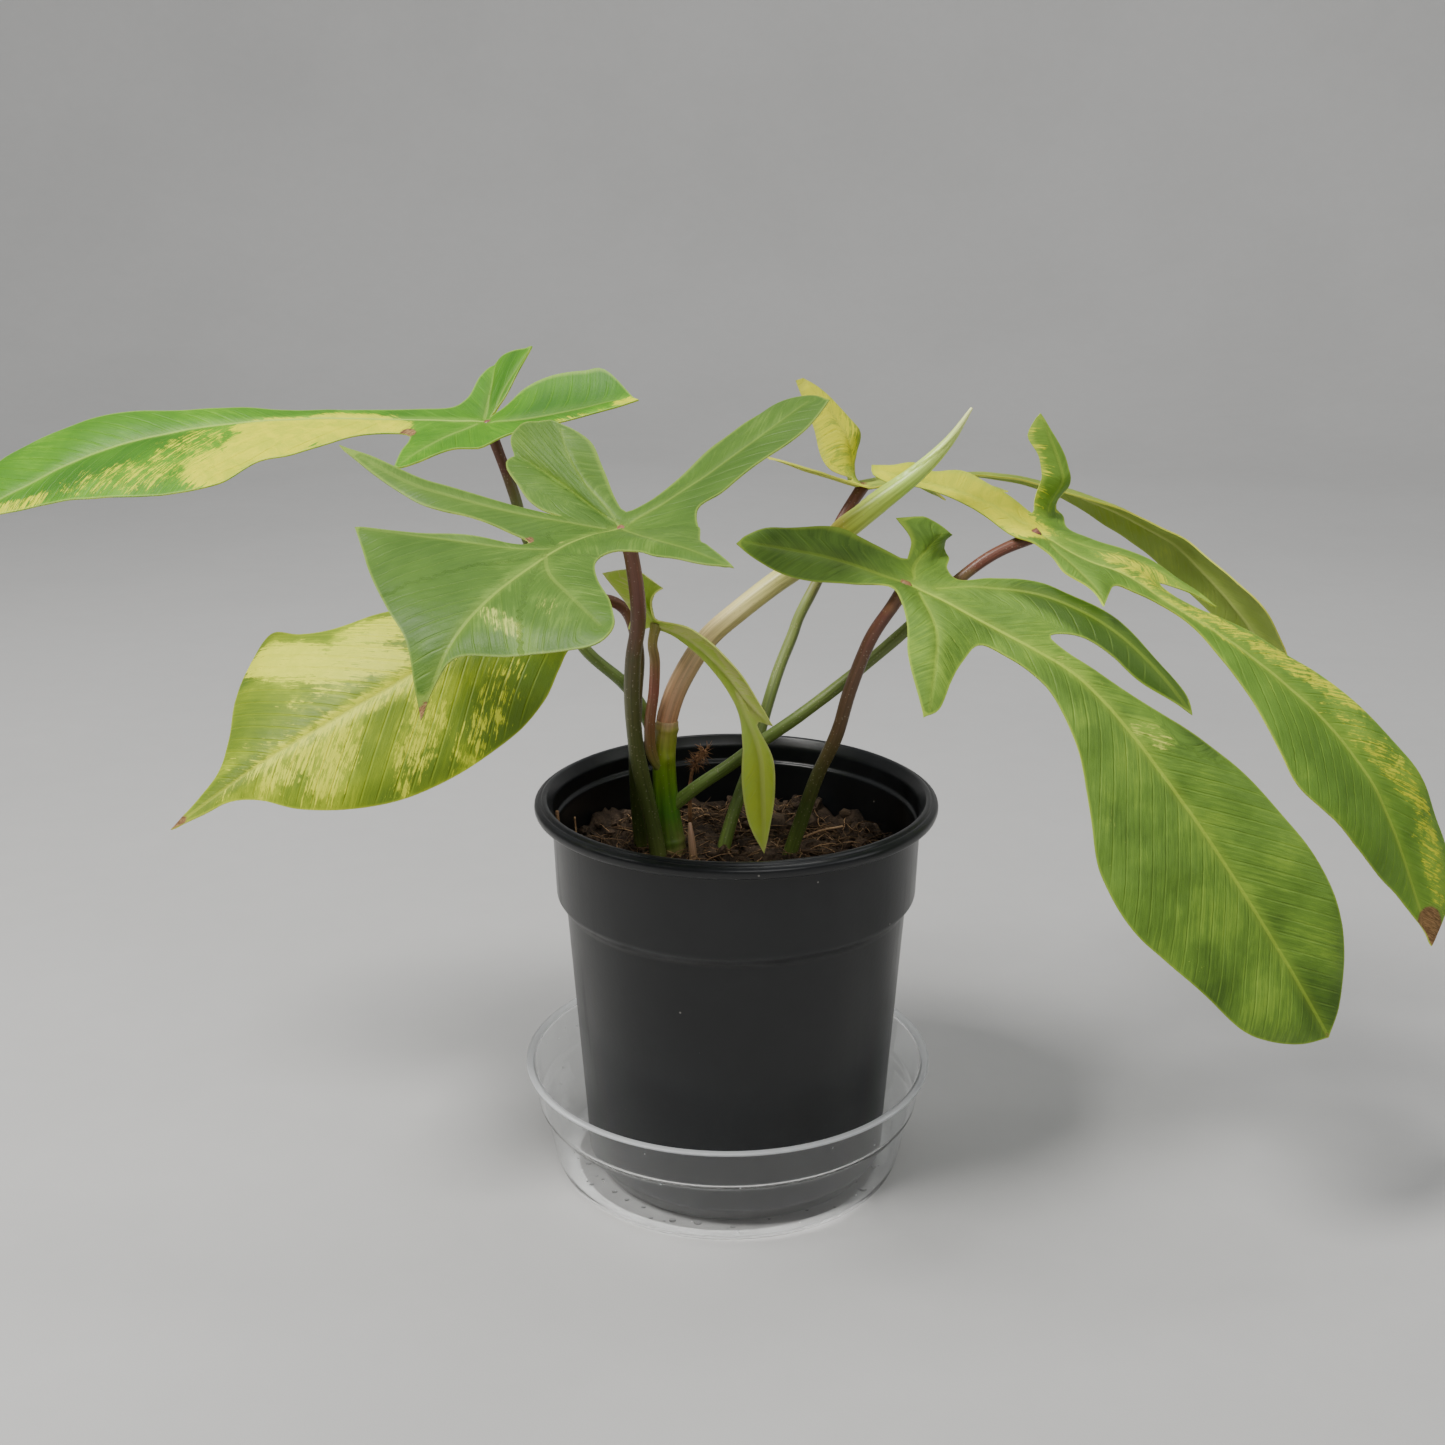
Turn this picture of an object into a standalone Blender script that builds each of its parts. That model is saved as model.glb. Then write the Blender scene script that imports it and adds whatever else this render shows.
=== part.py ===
"""A potted variegated philodendron.

Seven lobed leaves and one that is still rolled stand on a short stem, in a round nursery pot
with a clear saucer under it. Sizes below are in millimetres and the meshes are in metres. The
origin is on the pot's axis, on the surface that the saucer stands on, with +Z up and the side
that is looked at towards -Y. The plant is measured from the top of its potting mix.
"""
import math

import bmesh
import bpy
import numpy as np
from mathutils import Vector
from mathutils.geometry import delaunay_2d_cdt

MM = 0.001
GAP = 0.3                   # clearance between pieces that touch
TURN_STEPS = 48             # facets round the pot, the saucer and the mix

# Pot
POT_RIM_RADIUS = 65.0
POT_BASE_RADIUS = 49.0
POT_HEIGHT = 128.7
POT_WALL = 1.5
POT_COLLAR_DEPTH = 34.0     # from the rim's top to the step under the collar
POT_STEP = 2.8              # how far the wall steps in under the collar
POT_LIP_HEIGHT = 4.6
POT_LIP_WIDTH = 5.6         # how far the rolled lip stands out from the collar
POT_CORNER_WIDTH = 3.4      # how far the wall turns in over its lowest few millimetres
POT_CORNER_HEIGHT = 6.0
POT_FOOT_WIDTH = 6.0        # ring that the pot stands on, round its raised base
POT_FOOT_HEIGHT = 2.0
DRAIN_HOLES = 6
DRAIN_RADIUS = 4.0

# Saucer
SAUCER_WALL = 0.8
SAUCER_HEIGHT = 37.5
SAUCER_CLEARANCE = 4.5      # flat floor that is left outside the pot's base
SAUCER_FLARE = 13.9         # how much wider the rim is than the floor
SAUCER_LEDGE_HEIGHT = 22.0
SAUCER_LEDGE_WIDTH = 1.2
SAUCER_LIP_WIDTH = 1.8
SAUCER_SHIFT = -2.7         # the pot stands a little off the saucer's middle

# Potting mix
MIX_DROP = 25.0             # from the rim's top down to the mix
MIX_CROWN = 1.5             # how much higher the mix is in its middle
SOCKET_DEPTH = 14.0         # how deep a stem or stalk goes into the mix

# Plant
STEM_RADIUS = 4.0
STALK_RADIUS = 2.4          # of a large leaf's petiole, at its foot
SHEATH_RADIUS = 3.2
SPEAR_RADIUS = 4.0
TWIG_RADIUS = 0.9
BLADE_THICKNESS = 0.8
BLADE_SPACING = 9.0         # distance between the points that a blade is meshed from

SAUCER_FLOOR_RADIUS = POT_BASE_RADIUS + SAUCER_CLEARANCE
POT_BOTTOM = SAUCER_WALL + GAP
POT_TOP = POT_BOTTOM + POT_HEIGHT
MIX_TOP = POT_TOP - MIX_DROP

COLOURS = {
    "pot": (0.017, 0.018, 0.020), "saucer": (0.80, 0.82, 0.84), "mix": (0.038, 0.024, 0.016),
    "stem": (0.10, 0.22, 0.03), "maroon": (0.11, 0.055, 0.042), "olive": (0.11, 0.17, 0.05),
    "peach": (0.58, 0.38, 0.20), "spear": (0.30, 0.50, 0.10), "twig": (0.20, 0.11, 0.06),
    "green": (0.10, 0.24, 0.05), "lime": (0.13, 0.34, 0.03), "cream": (0.40, 0.44, 0.10),
}

# Stems and stalks run from the foot to the tip. Each point is (x, y, height over the mix).
STEM_PATH = [(-20, 6, -SOCKET_DEPTH), (-20.5, 6, 0), (-22.8, 6, 20), (-23.3, 6, 35), (-22.2, 6, 47)]
SHEATH_PATH = [(-22.1, 6, 48), (-19.3, 6, 57), (-14.1, 6, 67), (-8, 6, 75.5), (1.7, 6, 84),
               (11.8, 6, 92), (21.7, 6, 99), (33, 6, 109)]
SPEAR_PATH = [(33.8, 6, 109.8), (44.4, 6, 118), (56.4, 5, 127.7), (65.2, 5, 137), (71.4, 4, 147)]
ROOT_PATH = [(-13.2, -2, -SOCKET_DEPTH), (-13.7, -1.5, 0), (-14.4, -0.5, 8), (-15, 0.5, 14)]
TWIG_PATH = [(-15, 30, -8), (-15.5, 30, 10), (-15, 30, 20), (-13, 30, 25), (-10, 30, 29)]


class Blade:
    """A leaf blade that is drawn flat and then laid along its bent midrib.

    In the flat drawing u runs from the petiole's joint to the tip and v to the blade's left.
    spine: points (x, y, z, roll in degrees) of the midrib, from the joint to the tip.
    back: the directions in which the left and the right lobe behind the joint grow.
    turn: where given, the direction of +v on the left and on the right lobe behind the joint.
    cleft: where v passes from the right lobe to the left one, and over what half-width.
    fold: how steeply the left side, the right side and the outer blade rise from the midrib.
    """

    def __init__(self, spine, back, turn=(None, None), cleft=(0, 8), fold=(0.1, 0.1, 0.1),
                 arch=0.1):
        path = smooth_path(spine)
        self.points = path[:, :3]
        self.roll = np.radians(path[:, 3])
        runs = np.linalg.norm(np.diff(self.points, axis=0), axis=1)
        self.at = np.concatenate(([0], np.cumsum(runs)))
        self.along = unit(np.gradient(self.points, axis=0))
        self.back = [unit(direction) for direction in back]
        self.turn = turn
        self.cleft = cleft
        self.fold = fold
        self.arch = arch

    def frame(self, u):
        """Midrib point, its direction and the blade's left and up directions at u."""
        reach = np.maximum(u, 0)
        centre = np.stack([np.interp(reach, self.at, column) for column in self.points.T], -1)
        along = unit(np.stack([np.interp(reach, self.at, column) for column in self.along.T], -1))
        centre = centre + along * np.maximum(reach - self.at[-1], 0)[..., None]
        roll = np.interp(reach, self.at, self.roll)[..., None]
        level = unit(np.cross((0, 0, 1), along))
        left = level * np.cos(roll) + np.cross(along, level) * np.sin(roll)
        return centre, left, np.cross(along, left)

    def place(self, u, v):
        """Positions in space of points of the flat drawing."""
        centre, left, up = self.frame(u)
        share = ease((v - self.cleft[0]) / (2 * self.cleft[1]) + 0.5)[..., None]
        behind = np.maximum(-u, 0)[..., None]
        back = self.back[0] * share + self.back[1] * (1 - share)
        turned = [left if direction is None else unit(direction) for direction in self.turn]
        turned = turned[0] * share + turned[1] * (1 - share)
        turning = ease(behind / 18)
        left = left * (1 - turning) + unit(turned) * turning
        near = np.exp(-(np.maximum(u, 0) / 40) ** 2)
        hub_fold = np.where(v > 0, self.fold[0], self.fold[1])
        fold = self.fold[2] + (hub_fold - self.fold[2]) * near
        rise = fold * (np.sqrt(v * v + 9) - 3) - self.arch * v * v / 100
        return centre + back * behind + left * v[..., None] + up * rise[..., None]


def unit(vector):
    vector = np.asarray(vector, float)
    return vector / np.maximum(np.linalg.norm(vector, axis=-1, keepdims=True), 1e-9)


def ease(x):
    x = np.clip(x, 0, 1)
    return x * x * (3 - 2 * x)


def smooth_path(points, steps=12):
    """Catmull-Rom curve through the points."""
    p = np.asarray(points, float)
    p = np.vstack((2 * p[0] - p[1], p, 2 * p[-1] - p[-2]))
    t = np.linspace(0, 1, steps, endpoint=False)[:, None]
    pieces = []
    for a, b, c, d in zip(p, p[1:], p[2:], p[3:]):
        pieces.append(0.5 * (2 * b + (c - a) * t + (2 * a - 5 * b + 4 * c - d) * t ** 2
                             + (3 * b - a - 3 * c + d) * t ** 3))
    return np.vstack(pieces + [p[-2:-1]])


def spaced(points, spacing):
    """The same open line with points at even distances near the given spacing."""
    runs = np.linalg.norm(np.diff(points, axis=0), axis=1)
    at = np.concatenate(([0], np.cumsum(runs)))
    count = max(1, round(at[-1] / spacing))
    wanted = np.linspace(0, at[-1], count + 1)
    return np.stack([np.interp(wanted, at, column) for column in points.T], -1)


# The outlines go round from the cleft at the joint, down the left side and back up the right
# one. A third value of 1 marks a point where the outline has a tip or a corner.
LEAVES = {
    "leaf_1": dict(
        colour="lime",
        stalk=[(-23, 7.5, 38), (-26.3, 9, 41), (-31.1, 11, 51), (-36.9, 13, 58), (-48.8, 16, 68),
               (-58.4, 19, 83), (-67.1, 22, 103), (-71, 24, 117), (-76.3, 25, 132.5)],
        stalk_scale=0.85,
        spine=[(-79, 25, 140, -10), (-106, 24, 141, -14), (-138, 20, 142, -20),
               (-172, 16, 139, -24), (-202, 10, 131, -26), (-241, 4, 112, -30)],
        back=((60, -5, 14), (40, 12, 50)), fold=(0, 0.45, 0.1),
        outline=[(-1, -3), (-9, -5), (-16, -8), (-22, -11, 1), (-10, -23), (-1, -28), (4, -22),
                 (8, -12), (16, -7), (40, -6), (68, -7), (98, -11), (124, -18), (143, -22),
                 (154, -19), (163, -10), (169, 0, 1), (155, 7), (133, 19), (114, 31), (94, 39),
                 (80, 38), (70, 27), (60, 24), (50, 18), (38, 11), (25, 10), (23, 17), (26, 38, 1),
                 (17, 36), (8, 25), (0, 24), (-7, 17), (-16, 15), (-30, 13), (-43, 14),
                 (-50, 12, 1), (-45, 3), (-37, 1), (-26, -1), (-16, -2), (-8, -2)]),
    "leaf_2": dict(
        colour="green",
        stalk=[(-24.2, 0, -SOCKET_DEPTH), (-24.8, -1, 0), (-27.1, -3, 16), (-30, -6, 32),
               (-31.6, -8, 43), (-32.4, -12, 59), (-31.7, -16, 73.5), (-29.9, -20, 85),
               (-29.8, -25, 96), (-31.6, -30, 111)],
        stalk_scale=1.1,
        spine=[(-34, -32, 117, 0), (-50, -50, 116, 0), (-67, -76, 109, -4), (-77, -92, 98, -8),
               (-83, -100, 80, -10)],
        back=((42, 40, 36), (-22, 40, 34)), fold=(0.12, 0.4, 0.05), arch=0,
        outline=[(-8, 0), (-14, 3), (-27, 5), (-42, 6), (-54, 7), (-61, 11), (-64, 20),
                 (-62, 30, 1), (-50, 32), (-40, 31), (-28, 28), (-17, 26), (-10, 22), (6, 38),
                 (22, 53), (32, 64, 1), (31, 49), (27, 36), (22, 27), (23, 19), (31, 18),
                 (42, 26), (52, 37), (61, 44), (68, 43), (72, 35), (77, 19), (81, 5), (90, 1),
                 (99, 0, 1), (82, -9), (73, -21), (62, -36), (48, -53, 1), (41, -32), (32, -11),
                 (27, -9), (29, -22), (31, -36), (30, -58), (26, -82, 1), (25, -68), (24, -50),
                 (21, -34), (15, -20), (11, -13), (13, -20), (11, -31), (6, -43), (-7, -43),
                 (-21, -33), (-34, -18), (-41, -8), (-37, -4), (-26, -3), (-14, -2)]),
    "leaf_3": dict(
        colour="cream",
        stalk=[(-30.5, 10, -SOCKET_DEPTH), (-31.2, 10, 0), (-32.4, 9, 18.5), (-32.7, 6, 37),
               (-31.9, 2, 55), (-31.1, 4, 70), (-34.5, 8, 82), (-42, 5, 87), (-49.5, -2, 84.5)],
        stalk_scale=0.9,
        spine=[(-54, -8, 87, -30), (-80, -22, 81, -38), (-106, -34, 69, -45), (-139, -44, 51, -45),
               (-168, -48, 30, -40)],
        back=((30, 20, 10), (0, 20, 30)), fold=(-0.2, -0.2, -0.2), arch=0.4,
        outline=[(-3, 0), (-9, -5), (-12, -9, 1), (-7, -15), (4, -15), (16, -18), (30, -21),
                 (46, -26), (62, -29), (74, -36), (83, -44), (95, -37), (103, -28), (109, -15),
                 (115, -7), (124, -3), (136, 0, 1), (125, 3), (116, 5), (108, 10), (100, 18),
                 (88, 25), (74, 30), (60, 32), (46, 32), (29, 30), (17, 25), (9, 18), (3, 13),
                 (-7, 11, 1), (-5, 5)]),
    "leaf_4": dict(
        colour="lime",
        stalk=[(-23.6, 5, 30), (-27.1, 3, 37), (-27.5, 1, 47.5), (-26.1, 0, 58.5), (-25.6, -2, 69),
               (-26.2, -3.5, 75)],
        stalk_scale=0.8,
        spine=[(-25, -2, 81, -62), (-15, -6, 77, -66), (-5, -10, 68, -74), (4, -13, 58, -78),
               (11, -14, 52, -80)],
        back=((-6, 4, 20), (-6, 4, 20)), turn=((-1, 0.1, 0.05), (-1, 0.1, 0.05)),
        fold=(-0.5, -0.5, -0.3), arch=0,
        outline=[(0, 2), (-7, 12, 1), (-9, 8), (-18, 10, 1), (-18, 4), (-16, -2), (-12, -10, 1),
                 (-5, -8), (-2, -3), (6, -5), (12, -8), (18, -9), (24, -8), (33, -6), (42, -3),
                 (49, 0, 1), (45, 3), (56, 8), (64, 16), (70, 25), (74, 32, 1), (64, 28), (54, 20),
                 (46, 11), (38, 4), (24, 2), (12, 2)]),
    "leaf_5": dict(
        colour="lime",
        stalk=[(-5, 3, -SOCKET_DEPTH), (-4.6, 4, 0), (-1.6, 7, 12), (2, 11, 22), (5.3, 15, 30.5),
               (10.6, 22, 48), (14.3, 27, 58.5), (18.6, 31, 68.5), (21.3, 33, 75.5),
               (27.9, 37, 88), (33.9, 42, 103.5)],
        stalk_scale=0.9,
        spine=[(42, 45, 116, -5), (82, 55, 119, -8), (113, 60, 112, -14), (140, 64, 99, -28),
               (159, 66, 83, -38), (199, 62, 36, -45)],
        back=((-32, 4, 50), (-50, 0, 16)), turn=((0.8, 0.5, 0.35), None), cleft=(0, 3),
        fold=(0.05, 0.05, -0.25),
        outline=[(-4, 0), (-12, -1), (-26, 1), (-42, 2, 1), (-33, 7), (-20, 10), (-8, 12), (0, 14),
                 (10, 24), (20, 34), (32, 42), (46, 46, 1), (34, 34), (28, 22), (30, 11), (38, 6),
                 (55, 6), (75, 8), (100, 8), (125, 8), (150, 5), (172, 4), (189, 0, 1),
                 (177, -9), (163, -17), (150, -22), (135, -20), (118, -14), (100, -10), (78, -10),
                 (55, -6), (38, -6), (32, -9), (34, -18), (40, -30, 1), (26, -26), (12, -16),
                 (2, -9), (-8, -8), (-20, -11), (-36, -9, 1), (-26, -5), (-12, -4)]),
    "leaf_6": dict(
        colour="green",
        stalk=[(15.5, 2.5, -SOCKET_DEPTH), (17, 2, 0), (21.6, 0, 16.5), (25.8, -2, 30.5),
               (31.8, -4, 45.5), (35.5, -6, 60.5), (41.1, -9, 77.5), (47.7, -11, 89)],
        stalk_scale=1.0,
        spine=[(52, -12, 96, 12), (70, -22, 89, 18), (102, -36, 72, 34), (132, -48, 37, 48),
               (160, -55, -4, 58), (178, -58, -33, 60)],
        back=((-8, 12, 24), (-50, 4, 14)), turn=((0.85, 0.5, -0.1), (0.1, 0.6, 0.8)),
        cleft=(10, 4), arch=0.15,
        outline=[(-6, 9), (-11, 11), (-22, 11, 1), (-21, 16), (-16, 22), (-5, 27), (2, 23),
                 (5, 16), (11, 13), (19, 20), (31, 26), (43, 26), (56, 26), (70, 24), (83, 23),
                 (89, 20, 1), (73, 15), (62, 14), (52, 12), (45, 7), (53, 5), (67, 8), (80, 12),
                 (96, 18), (113, 23), (130, 25), (147, 26), (162, 23), (177, 17), (187, 8),
                 (193, 0, 1), (189, -9), (181, -18), (172, -24), (157, -28), (141, -33),
                 (125, -37), (107, -35), (92, -27), (79, -20), (66, -15), (52, -10), (39, -9),
                 (30, -10), (29, -20), (30, -31), (32, -43), (30, -49, 1), (25, -43), (17, -32),
                 (10, -19), (0, -9), (-7, -6), (-17, -6), (-31, -9), (-40, -9), (-49, -6),
                 (-54, -3, 1), (-51, 1), (-45, 5), (-35, 7), (-26, 8), (-14, 8)]),
    "leaf_7": dict(
        colour="green",
        stalk=[(-22, 6, 16), (-20.5, 6, 18), (-12.4, 5, 25), (-1.7, 5, 32.5), (8.6, 5, 40.5),
               (20.4, 5, 49), (36.3, 6, 61.5), (53.5, 7, 76.5), (65.8, 8, 89), (79.7, 9, 100)],
        stalk_scale=0.9,
        spine=[(95, 10, 107, 8), (109, 5, 101, 12), (126, 0, 95, 18), (161, -10, 72, 30),
               (196, -18, 36, 42), (221, -22, -19, 50)],
        back=((-14, 8, 40), (-60, 3, 20)), turn=((0.9, 0.4, 0), (0.1, 0.6, 0.8)),
        cleft=(10, 4),
        outline=[(-5, 9), (-14, 11), (-24, 12), (-33, 12), (-38, 14), (-32, 16), (-24, 18),
                 (-15, 18), (-5, 22), (2, 20), (6, 13), (14, 12), (26, 11), (38, 12), (50, 10),
                 (59, 8, 1), (49, 7), (40, 4), (48, 3), (57, 4), (67, 7), (84, 11), (97, 14),
                 (111, 15), (127, 17), (141, 20), (154, 21), (166, 20), (180, 13), (187, 6),
                 (190, 0, 1), (183, -1), (168, -7), (154, -15), (132, -23), (112, -28), (97, -24),
                 (82, -16), (68, -11), (55, -7), (45, -7), (34, -10), (28, -12), (27, -20),
                 (27, -29, 1), (20, -21), (13, -18), (6, -10), (-5, -7), (-17, -1), (-29, 2),
                 (-40, 2), (-49, 0), (-55, 1), (-56, 4, 1), (-46, 7), (-38, 7), (-30, 8),
                 (-15, 8)]),
}


def new_collection(name):
    collection = bpy.data.collections.new(name)
    bpy.context.scene.collection.children.link(collection)
    return collection


def material(name, colour, roughness=0.5, alpha=1.0):
    mat = bpy.data.materials.new(name)
    mat.use_nodes = True
    shader = mat.node_tree.nodes["Principled BSDF"]
    shader.inputs["Base Color"].default_value = (*COLOURS[colour], 1)
    shader.inputs["Roughness"].default_value = roughness
    shader.inputs["Metallic"].default_value = 0
    shader.inputs["Alpha"].default_value = alpha
    return mat


def add_object(name, data, collection, parent=None):
    obj = bpy.data.objects.new(name, data)
    collection.objects.link(obj)
    obj.parent = parent
    return obj


def make_cutter(obj):
    obj.hide_render = True
    obj.display_type = "WIRE"
    return obj


def turned(name, profile, collection):
    """A solid of revolution; the profile starts and ends on the axis."""
    mesh = bpy.data.meshes.new(name)
    verts = [(r * MM, 0, z * MM) for r, z in profile]
    mesh.from_pydata(verts, [(i, i + 1) for i in range(len(verts) - 1)], [])
    obj = add_object(name, mesh, collection)
    screw = obj.modifiers.new("Turn", "SCREW")
    screw.steps = TURN_STEPS
    screw.render_steps = TURN_STEPS
    screw.use_merge_vertices = True
    screw.merge_threshold = 0.00001
    return obj


def stem_rows(points, radii):
    """Evenly spaced rows (x, y, z, radius) along a smooth path with a radius at each point."""
    rows = [(*point, radius) for point, radius in zip(points, radii)]
    return spaced(smooth_path(rows), 2.2 * max(radii))


def grown(rows, extra):
    """The same rows with larger radii, and both ends carried on by as much."""
    rows = rows.copy()
    rows[:, 3] += extra
    rows[0, :3] += unit(rows[0, :3] - rows[1, :3]) * extra
    rows[-1, :3] += unit(rows[-1, :3] - rows[-2, :3]) * extra
    return rows


def tube(name, rows, collection, parent):
    """A round stem through the rows."""
    curve = bpy.data.curves.new(name, "CURVE")
    curve.dimensions = "3D"
    curve.bevel_depth = MM
    curve.bevel_resolution = 2
    curve.use_fill_caps = True
    spline = curve.splines.new("POLY")
    spline.points.add(len(rows) - 1)
    for point, (x, y, z, radius) in zip(spline.points, rows):
        point.co = (x * MM, y * MM, z * MM, 1)
        point.radius = radius
    return add_object(name, curve, collection, parent)


def to_mesh(obj):
    """The curve object made a mesh object with welded caps."""
    bpy.context.view_layer.update()
    evaluated = obj.evaluated_get(bpy.context.evaluated_depsgraph_get())
    mesh = bpy.data.meshes.new_from_object(evaluated)
    welded = bmesh.new()
    welded.from_mesh(mesh)
    bmesh.ops.remove_doubles(welded, verts=welded.verts, dist=0.00001)
    welded.to_mesh(mesh)
    welded.free()
    name = obj.name
    solid = add_object("solid", mesh, obj.users_collection[0], obj.parent)
    solid.matrix_world = obj.matrix_world.copy()
    bpy.data.objects.remove(obj)
    solid.name = name
    mesh.name = name
    return solid


def cut(obj, cutter):
    boolean = obj.modifiers.new("Cut " + cutter.name, "BOOLEAN")
    boolean.operation = "DIFFERENCE"
    boolean.solver = "EXACT"
    boolean.object = cutter


def pot_wall_radius(height):
    """Outer radius of the pot's wall at a height over its bottom, under the lip."""
    step_at = POT_HEIGHT - POT_COLLAR_DEPTH
    collar_top = POT_RIM_RADIUS - POT_LIP_WIDTH
    collar_foot = collar_top - 1.0
    if height > step_at:
        return collar_foot + (collar_top - collar_foot) * (height - step_at) / POT_COLLAR_DEPTH
    under_step = collar_foot - POT_STEP
    turned_in = POT_CORNER_WIDTH * max(0.0, 1 - height / POT_CORNER_HEIGHT)
    return POT_BASE_RADIUS + (under_step - POT_BASE_RADIUS) * height / step_at - turned_in


def pot_inner_radius(height):
    return pot_wall_radius(height) - POT_WALL


def arc(centre, radius, start, end, steps):
    """Points of a quarter or half round, with its angles in degrees."""
    angles = np.radians(np.linspace(start, end, steps + 1))
    return [(centre[0] + radius * math.cos(a), centre[1] + radius * math.sin(a)) for a in angles]


def build_pot(collection, cutters):
    """The pot: raised base on a foot ring, tapered wall, step, collar and rolled lip."""
    step_at = POT_HEIGHT - POT_COLLAR_DEPTH
    lip_foot = POT_HEIGHT - POT_LIP_HEIGHT
    base_top = POT_FOOT_HEIGHT + POT_WALL
    lip_inner = POT_RIM_RADIUS - POT_LIP_WIDTH + POT_WALL * 0.6
    profile = [(0, base_top), (pot_inner_radius(base_top), base_top)]
    profile += [(pot_inner_radius(POT_CORNER_HEIGHT), POT_CORNER_HEIGHT)]
    profile += [(pot_inner_radius(step_at - 1.5), step_at - 1.5)]
    profile += [(pot_inner_radius(step_at + 1.5), step_at + 1.5)]
    profile += [(pot_inner_radius(lip_foot), lip_foot), (lip_inner, POT_HEIGHT)]
    profile += [(POT_RIM_RADIUS - 2.2, POT_HEIGHT - 0.8)]
    profile += arc((POT_RIM_RADIUS - 2.0, POT_HEIGHT - 3.2), 2.0, 60, -60, 3)
    profile += [(pot_wall_radius(lip_foot) + 0.4, lip_foot + 0.4)]
    profile += [(pot_wall_radius(lip_foot), lip_foot - 1.0)]
    profile += [(pot_wall_radius(step_at + 1.5), step_at + 1.5)]
    profile += [(pot_wall_radius(step_at - 1.5), step_at - 1.5)]
    profile += [(pot_wall_radius(POT_CORNER_HEIGHT), POT_CORNER_HEIGHT)]
    profile += [(pot_wall_radius(1.0), 1.0), (pot_wall_radius(0.0) - 0.5, 0)]
    foot_inner = pot_wall_radius(0.0) - POT_FOOT_WIDTH
    profile += [(foot_inner, 0), (foot_inner - 1.0, POT_FOOT_HEIGHT), (0, POT_FOOT_HEIGHT)]
    pot = turned("nursery_pot", profile, collection)
    pot.location.z = POT_BOTTOM * MM
    pot.data.materials.append(material("pot_plastic", "pot", 0.42))
    for index in range(DRAIN_HOLES):
        angle = 2 * math.pi * index / DRAIN_HOLES
        reach = foot_inner - 3 * DRAIN_RADIUS
        hole = bmesh.new()
        bmesh.ops.create_cone(hole, cap_ends=True, segments=12, radius1=DRAIN_RADIUS * MM,
                              radius2=DRAIN_RADIUS * MM, depth=6 * POT_WALL * MM)
        mesh = bpy.data.meshes.new("drain_hole")
        hole.to_mesh(mesh)
        hole.free()
        cutter = make_cutter(add_object("drain_hole_cutter_%d" % (index + 1), mesh, cutters))
        cutter.location = (reach * math.cos(angle) * MM, reach * math.sin(angle) * MM,
                           (POT_BOTTOM + POT_FOOT_HEIGHT + POT_WALL / 2) * MM)
        cut(pot, cutter)


def build_saucer(collection):
    """The saucer: flat floor, rounded corner, flared wall with a ledge, and a thin flat lip."""
    floor = SAUCER_FLOOR_RADIUS
    rim = floor + SAUCER_FLARE
    corner = 5.0
    ledge = floor + corner + (rim - SAUCER_LIP_WIDTH - floor - corner) * 0.5
    outer = [(rim, SAUCER_HEIGHT), (rim, SAUCER_HEIGHT - SAUCER_WALL)]
    outer += [(rim - SAUCER_LIP_WIDTH, SAUCER_HEIGHT - SAUCER_WALL)]
    outer += [(ledge + SAUCER_LEDGE_WIDTH, SAUCER_LEDGE_HEIGHT), (ledge, SAUCER_LEDGE_HEIGHT - 1)]
    outer += arc((floor, corner), corner, -15, -90, 3) + [(0, 0)]
    inner = [(0, SAUCER_WALL)]
    inner += arc((floor, corner), corner - SAUCER_WALL, -90, -15, 3)
    inner += [(ledge - SAUCER_WALL, SAUCER_LEDGE_HEIGHT - 1 + 0.4 * SAUCER_WALL)]
    inner += [(ledge + SAUCER_LEDGE_WIDTH - SAUCER_WALL, SAUCER_LEDGE_HEIGHT + 0.4 * SAUCER_WALL)]
    inner += [(rim - SAUCER_LIP_WIDTH - SAUCER_WALL, SAUCER_HEIGHT)]
    saucer = turned("saucer", inner + outer, collection)
    saucer.location.x = SAUCER_SHIFT * MM
    saucer.data.materials.append(material("saucer_plastic", "saucer", 0.08, 0.3))


def build_mix(collection, sockets):
    """The potting mix: it fills the pot's inside, and each stem stands in its own socket."""
    bottom = POT_FOOT_HEIGHT + POT_WALL + GAP
    top = POT_HEIGHT - MIX_DROP
    step_at = POT_HEIGHT - POT_COLLAR_DEPTH
    turning_points = [bottom, POT_CORNER_HEIGHT, step_at - 1.5, step_at + 1.5, top]
    heights = [height for height in turning_points if bottom <= height <= top]
    side = [(pot_inner_radius(height) - 1.4 * GAP, height) for height in reversed(heights)]
    crown = [(0, top + MIX_CROWN), (side[0][0] * 0.5, top + 0.8 * MIX_CROWN)]
    mix = turned("potting_mix", crown + side + [(0, bottom)], collection)
    mix.location.z = POT_BOTTOM * MM
    mix.data.materials.append(material("coir_mix", "mix", 0.95))
    for socket in sockets:
        cut(mix, socket)


def flat_curve(outline):
    """Closed smooth curve through an outline's points, sharp at the marked ones."""
    marks = [index for index, point in enumerate(outline) if len(point) > 2]
    flat = [point[:2] for point in outline]
    pieces = []
    for start, end in zip(marks, marks[1:] + [marks[0] + len(flat)]):
        stretch = [flat[index % len(flat)] for index in range(start, end + 1)]
        pieces.append(spaced(smooth_path(stretch), BLADE_SPACING)[:-1])
    return np.vstack(pieces)


def inside(points, border):
    """Which points lie inside the closed border."""
    x, y = points[:, :1], points[:, 1:]
    ax, ay = border.T
    bx, by = np.roll(border, -1, axis=0).T
    spans = (ay > y) != (by > y)
    crossing = ax + (y - ay) * (bx - ax) / np.where(by == ay, 1e-9, by - ay)
    return (spans & (x < crossing)).sum(axis=1) % 2 == 1


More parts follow.
